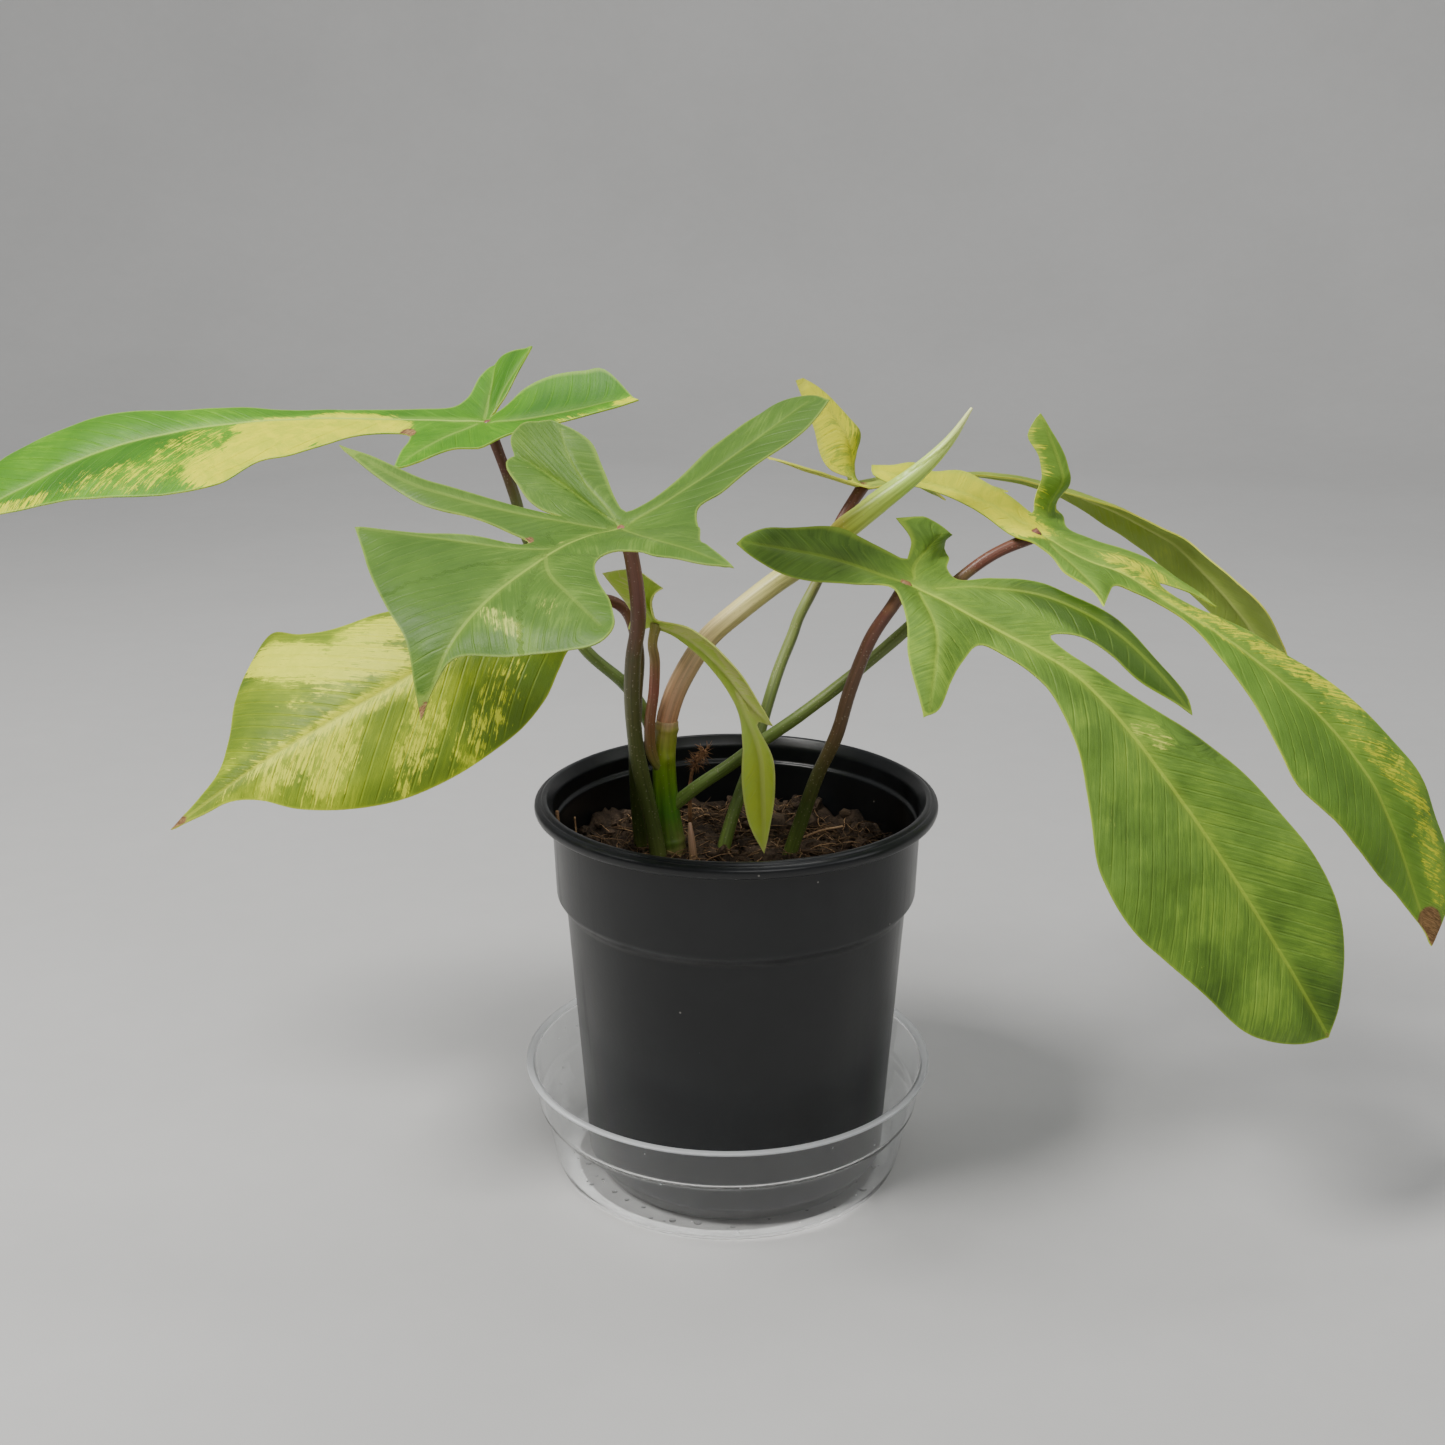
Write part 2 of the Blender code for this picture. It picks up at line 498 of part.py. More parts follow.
def flat_mesh(outline):
    """Triangles over the outline, with a row of points along the midrib."""
    border = flat_curve(outline)
    tip = max(point[0] for point in outline)
    midrib = spaced(np.array([(0.0, 0.0), (tip - BLADE_SPACING, 0.0)]), BLADE_SPACING)
    low, high = border.min(axis=0), border.max(axis=0)
    rows = np.arange(low[1], high[1], BLADE_SPACING * 0.87)
    grid = []
    for number, v in enumerate(rows):
        shift = (number % 2) * BLADE_SPACING / 2
        grid += [(u + shift, v) for u in np.arange(low[0], high[0], BLADE_SPACING)]
    grid = np.array(grid)
    grid = grid[inside(grid, border)]
    fixed = np.vstack((border, midrib))
    distance = np.linalg.norm(grid[:, None] - fixed[None], axis=2).min(axis=1)
    grid = grid[distance > 0.6 * BLADE_SPACING]
    points = np.vstack((border, midrib, grid))
    edges = [(i, (i + 1) % len(border)) for i in range(len(border))]
    edges += [(len(border) + i, len(border) + i + 1) for i in range(len(midrib) - 1)]
    verts, _, faces, *_ = delaunay_2d_cdt([Vector(p) for p in points], edges, [], 1, 0.0001)
    return np.array([tuple(vert) for vert in verts]), faces


def build_blade(name, leaf, shape, collection, plant):
    flat, faces = flat_mesh(leaf["outline"])
    placed = shape.place(flat[:, 0], flat[:, 1]) * MM
    mesh = bpy.data.meshes.new(name)
    mesh.from_pydata(placed.tolist(), [], faces)
    mesh.shade_smooth()
    obj = add_object(name, mesh, collection, plant)
    mesh.materials.append(material(name + "_skin", leaf["colour"], 0.4))
    shell = obj.modifiers.new("Thickness", "SOLIDIFY")
    shell.thickness = BLADE_THICKNESS * MM
    shell.offset = 0


def build_stalk(name, leaf, shape, collection, plant):
    """The petiole's object and its rows; it stops just under the blade's joint."""
    foot = STALK_RADIUS * leaf["stalk_scale"]
    neck = 0.85 * foot
    end_radius = 0.45 * foot
    joint, _, up = shape.frame(np.array(0.0))
    end = joint - up * (BLADE_THICKNESS / 2 + GAP + 1.1 * end_radius)
    near = leaf["stalk"]
    shoulder = end + unit(np.asarray(near[-1]) - end) * foot
    radii = [*np.linspace(foot, neck, len(near) + 1), end_radius]
    rows = stem_rows([*near, shoulder, end], radii)
    obj = tube(name, rows, collection, plant)
    obj.data.materials.append(material(name + "_skin", "maroon" if near[0][2] < 0 else "olive"))
    return obj, rows


def main():
    for obj in list(bpy.data.objects):
        bpy.data.objects.remove(obj)
    parts = new_collection("potted_philodendron")
    cutters = new_collection("cutters")
    plant = add_object("plant", None, parts)
    plant.location.z = MIX_TOP * MM
    build_saucer(parts)
    build_pot(parts, cutters)

    stems = {
        "main_stem": (STEM_PATH, STEM_RADIUS, (1.12, 1.12, 0.98, 0.9, 0.85), "stem"),
        "new_leaf_stalk": (SHEATH_PATH, SHEATH_RADIUS, (1, 1, 1, 1, 1, 1.05, 1.05, 1.05), "peach"),
        "new_leaf_spear": (SPEAR_PATH, SPEAR_RADIUS, (1, 0.85, 0.65, 0.4, 0.12), "spear"),
        "aerial_root": (ROOT_PATH, TWIG_RADIUS, (1.5, 1.5, 1.3, 0.6), "twig"),
        "dried_sprig": (TWIG_PATH, TWIG_RADIUS, (1, 1, 1, 2.4, 2.8), "twig"),
    }
    routes = {}
    made = {}
    for name, (path, radius, swell, colour) in stems.items():
        routes[name] = stem_rows(path, [radius * factor for factor in swell])
        made[name] = tube(name, routes[name], parts, plant)
        made[name].data.materials.append(material(name + "_skin", colour, 0.5))
    for name, leaf in LEAVES.items():
        bends = {key: leaf[key] for key in ("turn", "cleft", "fold", "arch") if key in leaf}
        shape = Blade(leaf["spine"], leaf["back"], **bends)
        build_blade(name + "_blade", leaf, shape, parts, plant)
        stalk = name + "_petiole"
        made[stalk], routes[stalk] = build_stalk(stalk, leaf, shape, parts, plant)

    def clearance_cutter(name):
        cutter = tube(name + "_cutter", grown(routes[name], 1.1 * GAP), cutters, plant)
        return make_cutter(to_mesh(cutter))

    stem_cutter = clearance_cutter("main_stem")
    sockets = [stem_cutter]
    for name, rows in routes.items():
        if rows[0][2] < 0 and name != "main_stem":
            sockets.append(clearance_cutter(name))
        if name not in ("main_stem", "new_leaf_spear", "dried_sprig"):
            cut(to_mesh(made[name]), stem_cutter)
    build_mix(parts, sockets)


main()
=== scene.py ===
"""Looks of a potted variegated philodendron.

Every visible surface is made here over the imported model: lobed leaves with veins and cream
sectors, petioles, the stem with its leaf scars, a sheathed new leaf, fibrous potting mix, a
black nursery pot and a clear saucer. Sizes are in millimetres unless a name says otherwise,
and meshes are made in metres. The plant is measured from the top of its potting mix.
"""
import math

import bmesh
import bpy
import numpy as np
from bpy.props import FloatProperty, FloatVectorProperty, IntProperty, PointerProperty
from bpy.types import Operator, Panel, PropertyGroup
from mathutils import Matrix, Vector, noise
from mathutils.geometry import delaunay_2d_cdt


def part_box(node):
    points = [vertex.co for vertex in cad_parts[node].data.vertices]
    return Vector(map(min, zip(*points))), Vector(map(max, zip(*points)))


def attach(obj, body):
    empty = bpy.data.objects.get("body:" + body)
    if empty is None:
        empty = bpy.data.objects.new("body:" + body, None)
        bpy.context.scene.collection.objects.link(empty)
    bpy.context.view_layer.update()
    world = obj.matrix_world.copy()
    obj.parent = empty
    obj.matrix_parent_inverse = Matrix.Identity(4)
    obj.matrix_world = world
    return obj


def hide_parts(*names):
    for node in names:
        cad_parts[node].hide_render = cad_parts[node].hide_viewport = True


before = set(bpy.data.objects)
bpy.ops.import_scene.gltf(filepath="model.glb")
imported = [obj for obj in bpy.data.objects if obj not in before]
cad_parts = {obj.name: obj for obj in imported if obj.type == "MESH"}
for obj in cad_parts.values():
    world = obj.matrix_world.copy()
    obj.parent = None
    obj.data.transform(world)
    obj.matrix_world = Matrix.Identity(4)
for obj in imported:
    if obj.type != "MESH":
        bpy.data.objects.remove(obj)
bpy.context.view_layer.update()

bl_info = {
    "name": "Potted philodendron",
    "version": (1, 0, 0),
    "blender": (4, 5, 0),
    "location": "3D View > Sidebar > Philodendron",
    "description": "Makes a potted variegated philodendron over its packed model",
    "category": "Object",
}

MM = 0.001
BODY = "root"

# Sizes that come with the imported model
POT_LOW, POT_HIGH = (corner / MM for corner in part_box("nursery_pot"))
SAUCER_LOW, SAUCER_HIGH = (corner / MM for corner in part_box("saucer"))
MIX_CROWN = 1.5             # how much higher the mix is in its middle
MIX_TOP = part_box("potting_mix")[1].z / MM - MIX_CROWN
POT_RIM_RADIUS = (POT_HIGH.y - POT_LOW.y) / 2
POT_HEIGHT = POT_HIGH.z - POT_LOW.z
SAUCER_RIM_RADIUS = (SAUCER_HIGH.y - SAUCER_LOW.y) / 2
SAUCER_MIDDLE = (SAUCER_HIGH.x + SAUCER_LOW.x) / 2

# Pot and saucer details
POT_BASE_RADIUS = 49.0
POT_WALL = 1.5
POT_COLLAR_DEPTH = 34.0
POT_STEP = 2.8
POT_LIP_HEIGHT = 4.6
POT_CORNER_WIDTH = 3.4      # how far the wall turns in over its lowest few millimetres
POT_CORNER_HEIGHT = 6.0
POT_LIP_WIDTH = 5.6
POT_LEDGE_DEPTH = 8.4       # from the rim's top down to the narrow ledge inside the lip
POT_FOOT_WIDTH = 6.0        # ring that the pot stands on, round its raised base
POT_FOOT_HEIGHT = 2.0
SAUCER_WALL = 0.8
SAUCER_FLOOR_RADIUS = 53.5
SAUCER_LEDGE_HEIGHT = 22.0

# Potting mix
MIX_RADIUS = 57.0           # over which the crown of the mix falls to its level
MIX_GAP = 0.45              # between the mix and the pot's wall
SOCKET_DEPTH = 14.0         # how deep a stem or stalk goes into the mix

# Leaf details
VEIN_ROWS = (-1.3, -0.55, 0.0, 0.55, 1.3)   # rows of points beside each main vein
SIDE_VEIN_SLANT = 1.15                      # how far a side vein runs forward as it runs out
SIDE_VEIN_SPACING = 6.5
THIN_SHARE = 0.36                           # of a blade's thickness, away from its veins

# Stage
CAMERA_PLACE = (-0.0044, -0.547, 0.322)     # metres
CAMERA_PITCH = 17.17                        # degrees under level
SKY_STRENGTH = 0.34


def unit(vector):
    vector = np.asarray(vector, float)
    return vector / np.maximum(np.linalg.norm(vector, axis=-1, keepdims=True), 1e-9)


def ease(x):
    x = np.clip(x, 0, 1)
    return x * x * (3 - 2 * x)


def smooth_path(points, steps=12):
    """Catmull-Rom curve through the points."""
    p = np.asarray(points, float)
    p = np.vstack((2 * p[0] - p[1], p, 2 * p[-1] - p[-2]))
    t = np.linspace(0, 1, steps, endpoint=False)[:, None]
    pieces = []
    for a, b, c, d in zip(p, p[1:], p[2:], p[3:]):
        pieces.append(0.5 * (2 * b + (c - a) * t + (2 * a - 5 * b + 4 * c - d) * t ** 2
                             + (3 * b - a - 3 * c + d) * t ** 3))
    return np.vstack(pieces + [p[-2:-1]])


def spaced(points, spacing):
    """The same open line with points at even distances near the given spacing."""
    runs = np.linalg.norm(np.diff(points, axis=0), axis=1)
    at = np.concatenate(([0], np.cumsum(runs)))
    count = max(1, round(at[-1] / spacing))
    wanted = np.linspace(0, at[-1], count + 1)
    return np.stack([np.interp(wanted, at, column) for column in points.T], -1)


class Blade:
    """A leaf blade that is drawn flat and then laid along its bent midrib.

    In the flat drawing u runs from the petiole's joint to the tip and v to the blade's left.
    spine: points (x, y, z, roll in degrees) of the midrib, from the joint to the tip.
    back: the directions in which the left and the right lobe behind the joint grow.
    turn: where given, the direction of +v on the left and on the right lobe behind the joint.
    cleft: where v passes from the right lobe to the left one, and over what half-width.
    fold: how steeply the left side, the right side and the outer blade rise from the midrib.
    """

    def __init__(self, spine, back, turn=(None, None), cleft=(0, 8), fold=(0.1, 0.1, 0.1),
                 arch=0.1):
        path = smooth_path(spine)
        self.points = path[:, :3]
        self.roll = np.radians(path[:, 3])
        runs = np.linalg.norm(np.diff(self.points, axis=0), axis=1)
        self.at = np.concatenate(([0], np.cumsum(runs)))
        self.along = unit(np.gradient(self.points, axis=0))
        self.back = [unit(direction) for direction in back]
        self.turn = turn
        self.cleft = cleft
        self.fold = fold
        self.arch = arch

    def frame(self, u):
        """Midrib point, its direction and the blade's left and up directions at u."""
        reach = np.maximum(u, 0)
        centre = np.stack([np.interp(reach, self.at, column) for column in self.points.T], -1)
        along = unit(np.stack([np.interp(reach, self.at, column) for column in self.along.T], -1))
        centre = centre + along * np.maximum(reach - self.at[-1], 0)[..., None]
        roll = np.interp(reach, self.at, self.roll)[..., None]
        level = unit(np.cross((0, 0, 1), along))
        left = level * np.cos(roll) + np.cross(along, level) * np.sin(roll)
        return centre, left, np.cross(along, left)

    def place(self, u, v):
        """Positions in space of points of the flat drawing."""
        centre, left, up = self.frame(u)
        share = ease((v - self.cleft[0]) / (2 * self.cleft[1]) + 0.5)[..., None]
        behind = np.maximum(-u, 0)[..., None]
        back = self.back[0] * share + self.back[1] * (1 - share)
        turned = [left if direction is None else unit(direction) for direction in self.turn]
        turned = turned[0] * share + turned[1] * (1 - share)
        turning = ease(behind / 18)
        left = left * (1 - turning) + unit(turned) * turning
        near = np.exp(-(np.maximum(u, 0) / 40) ** 2)
        hub_fold = np.where(v > 0, self.fold[0], self.fold[1])
        fold = self.fold[2] + (hub_fold - self.fold[2]) * near
        rise = fold * (np.sqrt(v * v + 9) - 3) - self.arch * v * v / 100
        return centre + back * behind + left * v[..., None] + up * rise[..., None]


# The outlines go round from the cleft at the joint, down the left side and back up the right
# one. A third value of 1 marks a point where the outline has a tip or a corner. Veins run from
# the joint to the lobes' tips. A patch is (u, v, length, width, slant in degrees, strength) of
# a soft oval: pale ones hold cream and yellow, dark ones deeper green, and brown ones scorch.
# Where a leaf gives under, its underside colours are multiplied by it: painted light that brightens
# an underside lying in shade.
LEAVES = {
    "leaf_1": dict(
        look=((0.085, 0.260, 0.010), (0.045, 0.160, 0.010), (0.740, 0.730, 0.003),
              (0.420, 0.600, 0.100), (0.170, 0.400, 0.016)),
        mottle=0.55, wave=0.9, slot="leaf_lime",
        spine=[(-79, 25, 140, -10), (-106, 24, 141, -14), (-138, 20, 142, -20),
               (-172, 16, 139, -24), (-202, 10, 131, -26), (-241, 4, 112, -30)],
        back=((60, -5, 14), (40, 12, 50)), fold=(0, 0.45, 0.1),
        outline=[(-1, -3), (-9, -5), (-16, -8), (-22, -11, 1), (-10, -23), (-1, -28), (4, -22),
                 (8, -12), (16, -7), (40, -6), (68, -7), (98, -11), (124, -18), (143, -22),
                 (154, -19), (163, -10), (169, 0, 1), (155, 7), (133, 19), (114, 31), (94, 39),
                 (80, 38), (70, 27), (60, 24), (50, 18), (38, 11), (25, 10), (23, 17), (26, 38, 1),
                 (17, 36), (8, 25), (0, 24), (-7, 17), (-16, 15), (-30, 13), (-43, 14),
                 (-50, 12, 1), (-45, 3), (-37, 1), (-26, -1), (-16, -2), (-8, -2)],
        veins=[[(0, 0), (40, 1), (80, 1), (130, 0), (168, 0)], [(-2, 3), (-14, 7), (-48, 9)],
               [(0, -1), (-7, -7), (-20, -11)], [(1, -2), (0, -14), (-1, -27)],
               [(3, 3), (13, 18), (24, 36)]],
        pale=[(44, 8, 24, 12, 4, 1.3), (66, 18, 18, 14, 30, 1.2), (62, 6, 22, 8, 0, 1.0),
              (82, 30, 16, 16, 40, 0.78), (92, 14, 26, 16, 30, 0.50), (112, 22, 34, 12, -25, 0.50),
              (150, 8, 22, 5, -20, 0.6), (-47, 11, 8, 4, 10, 0.8), (-30, 13, 14, 3, 0, 0.5)],
        dark=[(120, 8, 34, 9, 5, 0.7), (-25, 6, 18, 5, 0, 0.7), (-8, -14, 14, 10, 60, 0.5)],
        brown=[(24, 10, 3.5, 3, 0, 1.2)]),
    "leaf_2": dict(
        look=((0.092, 0.190, 0.024), (0.058, 0.132, 0.016), (0.600, 0.680, 0.120),
              (0.340, 0.480, 0.070), (0.180, 0.310, 0.045)),
        mottle=0.35, wave=1.1, slot="leaf_green",
        spine=[(-34, -32, 117, 0), (-50, -50, 116, 0), (-67, -76, 109, -4), (-77, -92, 98, -8),
               (-83, -100, 80, -10)],
        back=((42, 40, 36), (-22, 40, 34)), fold=(0.12, 0.4, 0.05), arch=0,
        outline=[(-8, 0), (-14, 3), (-27, 5), (-42, 6), (-54, 7), (-61, 11), (-64, 20),
                 (-62, 30, 1), (-50, 32), (-40, 31), (-28, 28), (-17, 26), (-10, 22), (6, 38),
                 (22, 53), (32, 64, 1), (31, 49), (27, 36), (22, 27), (23, 19), (31, 18),
                 (42, 26), (52, 37), (61, 44), (68, 43), (72, 35), (77, 19), (81, 5), (90, 1),
                 (99, 0, 1), (82, -9), (73, -21), (62, -36), (48, -53, 1), (41, -32), (32, -11),
                 (27, -9), (29, -22), (31, -36), (30, -58), (26, -82, 1), (25, -68), (24, -50),
                 (21, -34), (15, -20), (11, -13), (13, -20), (11, -31), (6, -43), (-7, -43),
                 (-21, -33), (-34, -18), (-41, -8), (-37, -4), (-26, -3), (-14, -2)],
        veins=[[(0, 0), (30, 3), (60, 3), (98, 0)], [(-3, 3), (-28, 14), (-60, 24)],
               [(1, 2), (14, 26), (31, 61)], [(-2, -2), (-4, -22), (-2, -41)],
               [(-3, -2), (-20, -9), (-38, -7)], [(4, -2), (19, -18), (27, -48), (26, -80)],
               [(33, 2), (46, 14), (62, 40)], [(29, 0), (38, -16), (48, -50)]],
        pale=[(68, 12, 16, 5, 70, 0.55), (60, 24, 14, 5, 60, 0.45), (74, 24, 12, 4, 80, 0.42),
              (-4, -24, 26, 14, 40, 0.20), (16, 50, 14, 8, 60, 0.22), (40, 1, 40, 2, 2, 0.42)],
        dark=[(-22, 22, 26, 10, 5, 0.5), (60, -22, 30, 14, 40, 0.35)],
        brown=[(97, 0, 4, 2, 0, 1.1), (27, -9, 2.2, 2.2, 0, 1.0)]),
    "leaf_3": dict(
        look=((0.225, 0.315, 0.016), (0.115, 0.195, 0.018), (0.780, 0.800, 0.045),
              (0.560, 0.620, 0.045), (0.460, 0.560, 0.025)),
        mottle=0.62, wave=0.8, slot="leaf_cream",
        spine=[(-54, -8, 87, -30), (-80, -22, 81, -38), (-106, -34, 69, -45), (-139, -44, 51, -45),
               (-168, -48, 30, -40)],
        back=((30, 20, 10), (0, 20, 30)), fold=(-0.2, -0.2, -0.2), arch=0.4,
        outline=[(-3, 0), (-9, -5), (-12, -9, 1), (-7, -15), (4, -15), (16, -18), (30, -21),
                 (46, -26), (62, -29), (74, -36), (83, -44), (95, -37), (103, -28), (109, -15),
                 (115, -7), (124, -3), (136, 0, 1), (125, 3), (116, 5), (108, 10), (100, 18),
                 (88, 25), (74, 30), (60, 32), (46, 32), (29, 30), (17, 25), (9, 18), (3, 13),
                 (-7, 11, 1), (-5, 5)],
        veins=[[(0, 0), (60, 1), (100, 1), (135, 0)], [(-2, 2), (-4, 9)]],
        pale=[(84, 12, 22, 8, 35, 0.62), (92, 6, 26, 6, 10, 0.60), (36, 22, 30, 9, 30, 0.52),
              (58, 18, 28, 9, 40, 0.55), (72, 2, 60, 5, 0, 0.62), (66, -14, 32, 10, -30, 0.75),
              (82, -28, 24, 10, -40, 0.85), (50, -18, 24, 8, -20, 0.72), (62, -6, 40, 6, -12, 0.5),
              (100, 2, 40, 20, 0, 0.34)],
        dark=[(28, 22, 26, 12, 10, 1.0), (60, 26, 26, 6, 0, 0.6), (94, -10, 22, 9, -30, 0.5),
              (92, -34, 12, 6, -20, 1.4), (116, 0, 16, 4, 0, 0.9), (20, -4, 30, 14, 0, 0.7)],
        brown=[(134, 0, 5, 2.5, 0, 1.2)]),
    "leaf_4": dict(
        look=((0.500, 0.660, 0.060), (0.320, 0.470, 0.045), (0.800, 0.840, 0.140),
              (0.780, 0.800, 0.220), (0.620, 0.780, 0.090)),
        # under=1.6 is painted light: it brightens this blade's shaded underside.
        under=1.6, mottle=0.7, wave=0.5, slot="leaf_lime",
        spine=[(-25, -2, 81, -62), (-15, -6, 77, -66), (-5, -10, 68, -74), (4, -13, 58, -78),
               (11, -14, 52, -80)],
        back=((-6, 4, 20), (-6, 4, 20)), turn=((-1, 0.1, 0.05), (-1, 0.1, 0.05)),
        fold=(-0.5, -0.5, -0.3), arch=0,
        outline=[(0, 2), (-7, 12, 1), (-9, 8), (-18, 10, 1), (-18, 4), (-16, -2), (-12, -10, 1),
                 (-5, -8), (-2, -3), (6, -5), (12, -8), (18, -9), (24, -8), (33, -6), (42, -3),
                 (49, 0, 1), (45, 3), (56, 8), (64, 16), (70, 25), (74, 32, 1), (64, 28), (54, 20),
                 (46, 11), (38, 4), (24, 2), (12, 2)],
        veins=[[(0, 0), (14, -2), (30, -2), (48, 0)], [(-2, 1), (-17, 4)],
               [(34, 0), (50, 8), (61, 18), (73, 31)]],
        pale=[(14, -6, 14, 4, -20, 0.7), (28, -5, 16, 3, 10, 0.65), (-12, 6, 10, 6, 20, 0.45),
              (40, 0, 14, 3, 10, 0.6)],
        dark=[(60, 18, 22, 6, 45, 0.8)],
        brown=[(-4, -5, 2, 2, 0, 0.9)]),
    "leaf_5": dict(
        look=((0.310, 0.410, 0.040), (0.170, 0.250, 0.030), (0.780, 0.750, 0.020),
              (0.540, 0.560, 0.080), (0.480, 0.560, 0.045)),
        # under=1.5 is painted light: it brightens this blade's shaded underside.
        under=1.5, mottle=0.6, wave=0.8, slot="leaf_olive",
        spine=[(42, 45, 116, -5), (82, 55, 119, -8), (113, 60, 112, -14), (140, 64, 99, -28),
               (159, 66, 83, -38), (199, 62, 36, -45)],
        back=((-32, 4, 50), (-50, 0, 16)), turn=((0.8, 0.5, 0.35), None), cleft=(0, 3),
        fold=(0.05, 0.05, -0.25),
        outline=[(-4, 0), (-12, -1), (-26, 1), (-42, 2, 1), (-33, 7), (-20, 10), (-8, 12), (0, 14),
                 (10, 24), (20, 34), (32, 42), (46, 46, 1), (34, 34), (28, 22), (30, 11), (38, 6),
                 (55, 6), (75, 8), (100, 8), (125, 8), (150, 5), (172, 4), (189, 0, 1),
                 (177, -9), (163, -17), (150, -22), (135, -20), (118, -14), (100, -10), (78, -10),
                 (55, -6), (38, -6), (32, -9), (34, -18), (40, -30, 1), (26, -26), (12, -16),
                 (2, -9), (-8, -8), (-20, -11), (-36, -9, 1), (-26, -5), (-12, -4)],
        veins=[[(0, 0), (60, -1), (100, -2), (130, -6), (155, -7), (188, 0)],
               [(-2, 3), (-20, 5), (-41, 3)],
               [(4, 6), (20, 24), (45, 45)], [(5, -3), (22, -14), (39, -29)],
               [(-3, -2), (-18, -7), (-35, -9)]],
        pale=[(-22, 5, 26, 8, 0, 0.62), (-34, 3, 12, 5, 0, 0.8), (-20, -7, 24, 8, 5, 1.3)],
        dark=[(60, 0, 60, 8, 0, 0.5), (24, 28, 30, 12, 45, 0.6)],
        brown=[(0, 4, 4, 5, 0, 0.8)]),
    "leaf_6": dict(
        look=((0.150, 0.280, 0.034), (0.060, 0.125, 0.014), (0.740, 0.800, 0.120),
              (0.460, 0.620, 0.060), (0.270, 0.430, 0.045)),
        mottle=0.40, wave=1.0, slot="leaf_green",
        spine=[(52, -12, 96, 12), (70, -22, 89, 18), (102, -36, 72, 34), (132, -48, 37, 48),
               (160, -55, -4, 58), (178, -58, -33, 60)],
        back=((-8, 12, 24), (-50, 4, 14)), turn=((0.85, 0.5, -0.1), (0.1, 0.6, 0.8)),
        cleft=(10, 4), arch=0.15,
        outline=[(-6, 9), (-11, 11), (-22, 11, 1), (-21, 16), (-16, 22), (-5, 27), (2, 23),
                 (5, 16), (11, 13), (19, 20), (31, 26), (43, 26), (56, 26), (70, 24), (83, 23),
                 (89, 20, 1), (73, 15), (62, 14), (52, 12), (45, 7), (53, 5), (67, 8), (80, 12),
                 (96, 18), (113, 23), (130, 25), (147, 26), (162, 23), (177, 17), (187, 8),
                 (193, 0, 1), (189, -9), (181, -18), (172, -24), (157, -28), (141, -33),
                 (125, -37), (107, -35), (92, -27), (79, -20), (66, -15), (52, -10), (39, -9),
                 (30, -10), (29, -20), (30, -31), (32, -43), (30, -49, 1), (25, -43), (17, -32),
                 (10, -19), (0, -9), (-7, -6), (-17, -6), (-31, -9), (-40, -9), (-49, -6),
                 (-54, -3, 1), (-51, 1), (-45, 5), (-35, 7), (-26, 8), (-14, 8)],
        veins=[[(0, 0), (40, -1), (60, 0), (120, 0), (192, 0)], [(0, 4), (-6, 13), (-15, 19)],
               [(8, 4), (18, 13), (38, 21), (87, 20)], [(-3, 0), (-25, 1), (-53, -2)],
               [(5, -2), (19, -18), (30, -46)]],
        pale=[(86, 5, 12, 6, 20, 0.52), (58, 2, 18, 5, 5, 0.42), (50, 5, 6, 4, 40, 0.4),
              (94, -22, 10, 4, -30, 0.35), (66, -8, 10, 5, -20, 0.3), (-8, 16, 5, 6, 20, 0.30),
              (24, -26, 12, 20, 0, 0.34),
              (150, -8, 60, 26, 0, 0.20), (120, 8, 60, 10, 0, 0.12)],
        dark=[(62, 20, 40, 8, 0, 1.9), (184, 4, 16, 10, 0, 0.8), (-30, 0, 26, 10, 0, 0.35),
              (140, -24, 50, 8, -5, 0.3)],
        brown=[(192, 0, 2, 2, 0, 0.6)]),
    "leaf_7": dict(
        look=((0.160, 0.310, 0.034), (0.090, 0.190, 0.018), (0.800, 0.780, 0.020),
              (0.480, 0.640, 0.070), (0.300, 0.470, 0.045)),
        mottle=0.8, wave=1.0, slot="leaf_green",
        spine=[(95, 10, 107, 8), (109, 5, 101, 12), (126, 0, 95, 18), (161, -10, 72, 30),
               (196, -18, 36, 42), (221, -22, -19, 50)],
        back=((-14, 8, 40), (-60, 3, 20)), turn=((0.9, 0.4, 0), (0.1, 0.6, 0.8)),
        cleft=(10, 4),
        outline=[(-5, 9), (-14, 11), (-24, 12), (-33, 12), (-38, 14), (-32, 16), (-24, 18),
                 (-15, 18), (-5, 22), (2, 20), (6, 13), (14, 12), (26, 11), (38, 12), (50, 10),
                 (59, 8, 1), (49, 7), (40, 4), (48, 3), (57, 4), (67, 7), (84, 11), (97, 14),
                 (111, 15), (127, 17), (141, 20), (154, 21), (166, 20), (180, 13), (187, 6),
                 (190, 0, 1), (183, -1), (168, -7), (154, -15), (132, -23), (112, -28), (97, -24),
                 (82, -16), (68, -11), (55, -7), (45, -7), (34, -10), (28, -12), (27, -20),
                 (27, -29, 1), (20, -21), (13, -18), (6, -10), (-5, -7), (-17, -1), (-29, 2),
                 (-40, 2), (-49, 0), (-55, 1), (-56, 4, 1), (-46, 7), (-38, 7), (-30, 8),
                 (-15, 8)],
        veins=[[(0, 0), (20, -3), (45, -4), (70, -2), (110, 0), (189, 0)],
               [(-3, 13), (-20, 15), (-37, 14)], [(-5, 3), (-25, 5), (-55, 3)],
               [(8, 5), (30, 8), (58, 8)], [(5, -4), (18, -15), (27, -28)]],
        pale=[(-30, 4, 36, 9, 0, 1.5), (-4, 0, 10, 8, 20, 1.0), (34, 3, 20, 7, 0, 0.62),
              (62, 2, 18, 4, 8, 0.6), (92, 9, 34, 6, 15, 0.62), (128, 10, 34, 7, 12, 0.50),
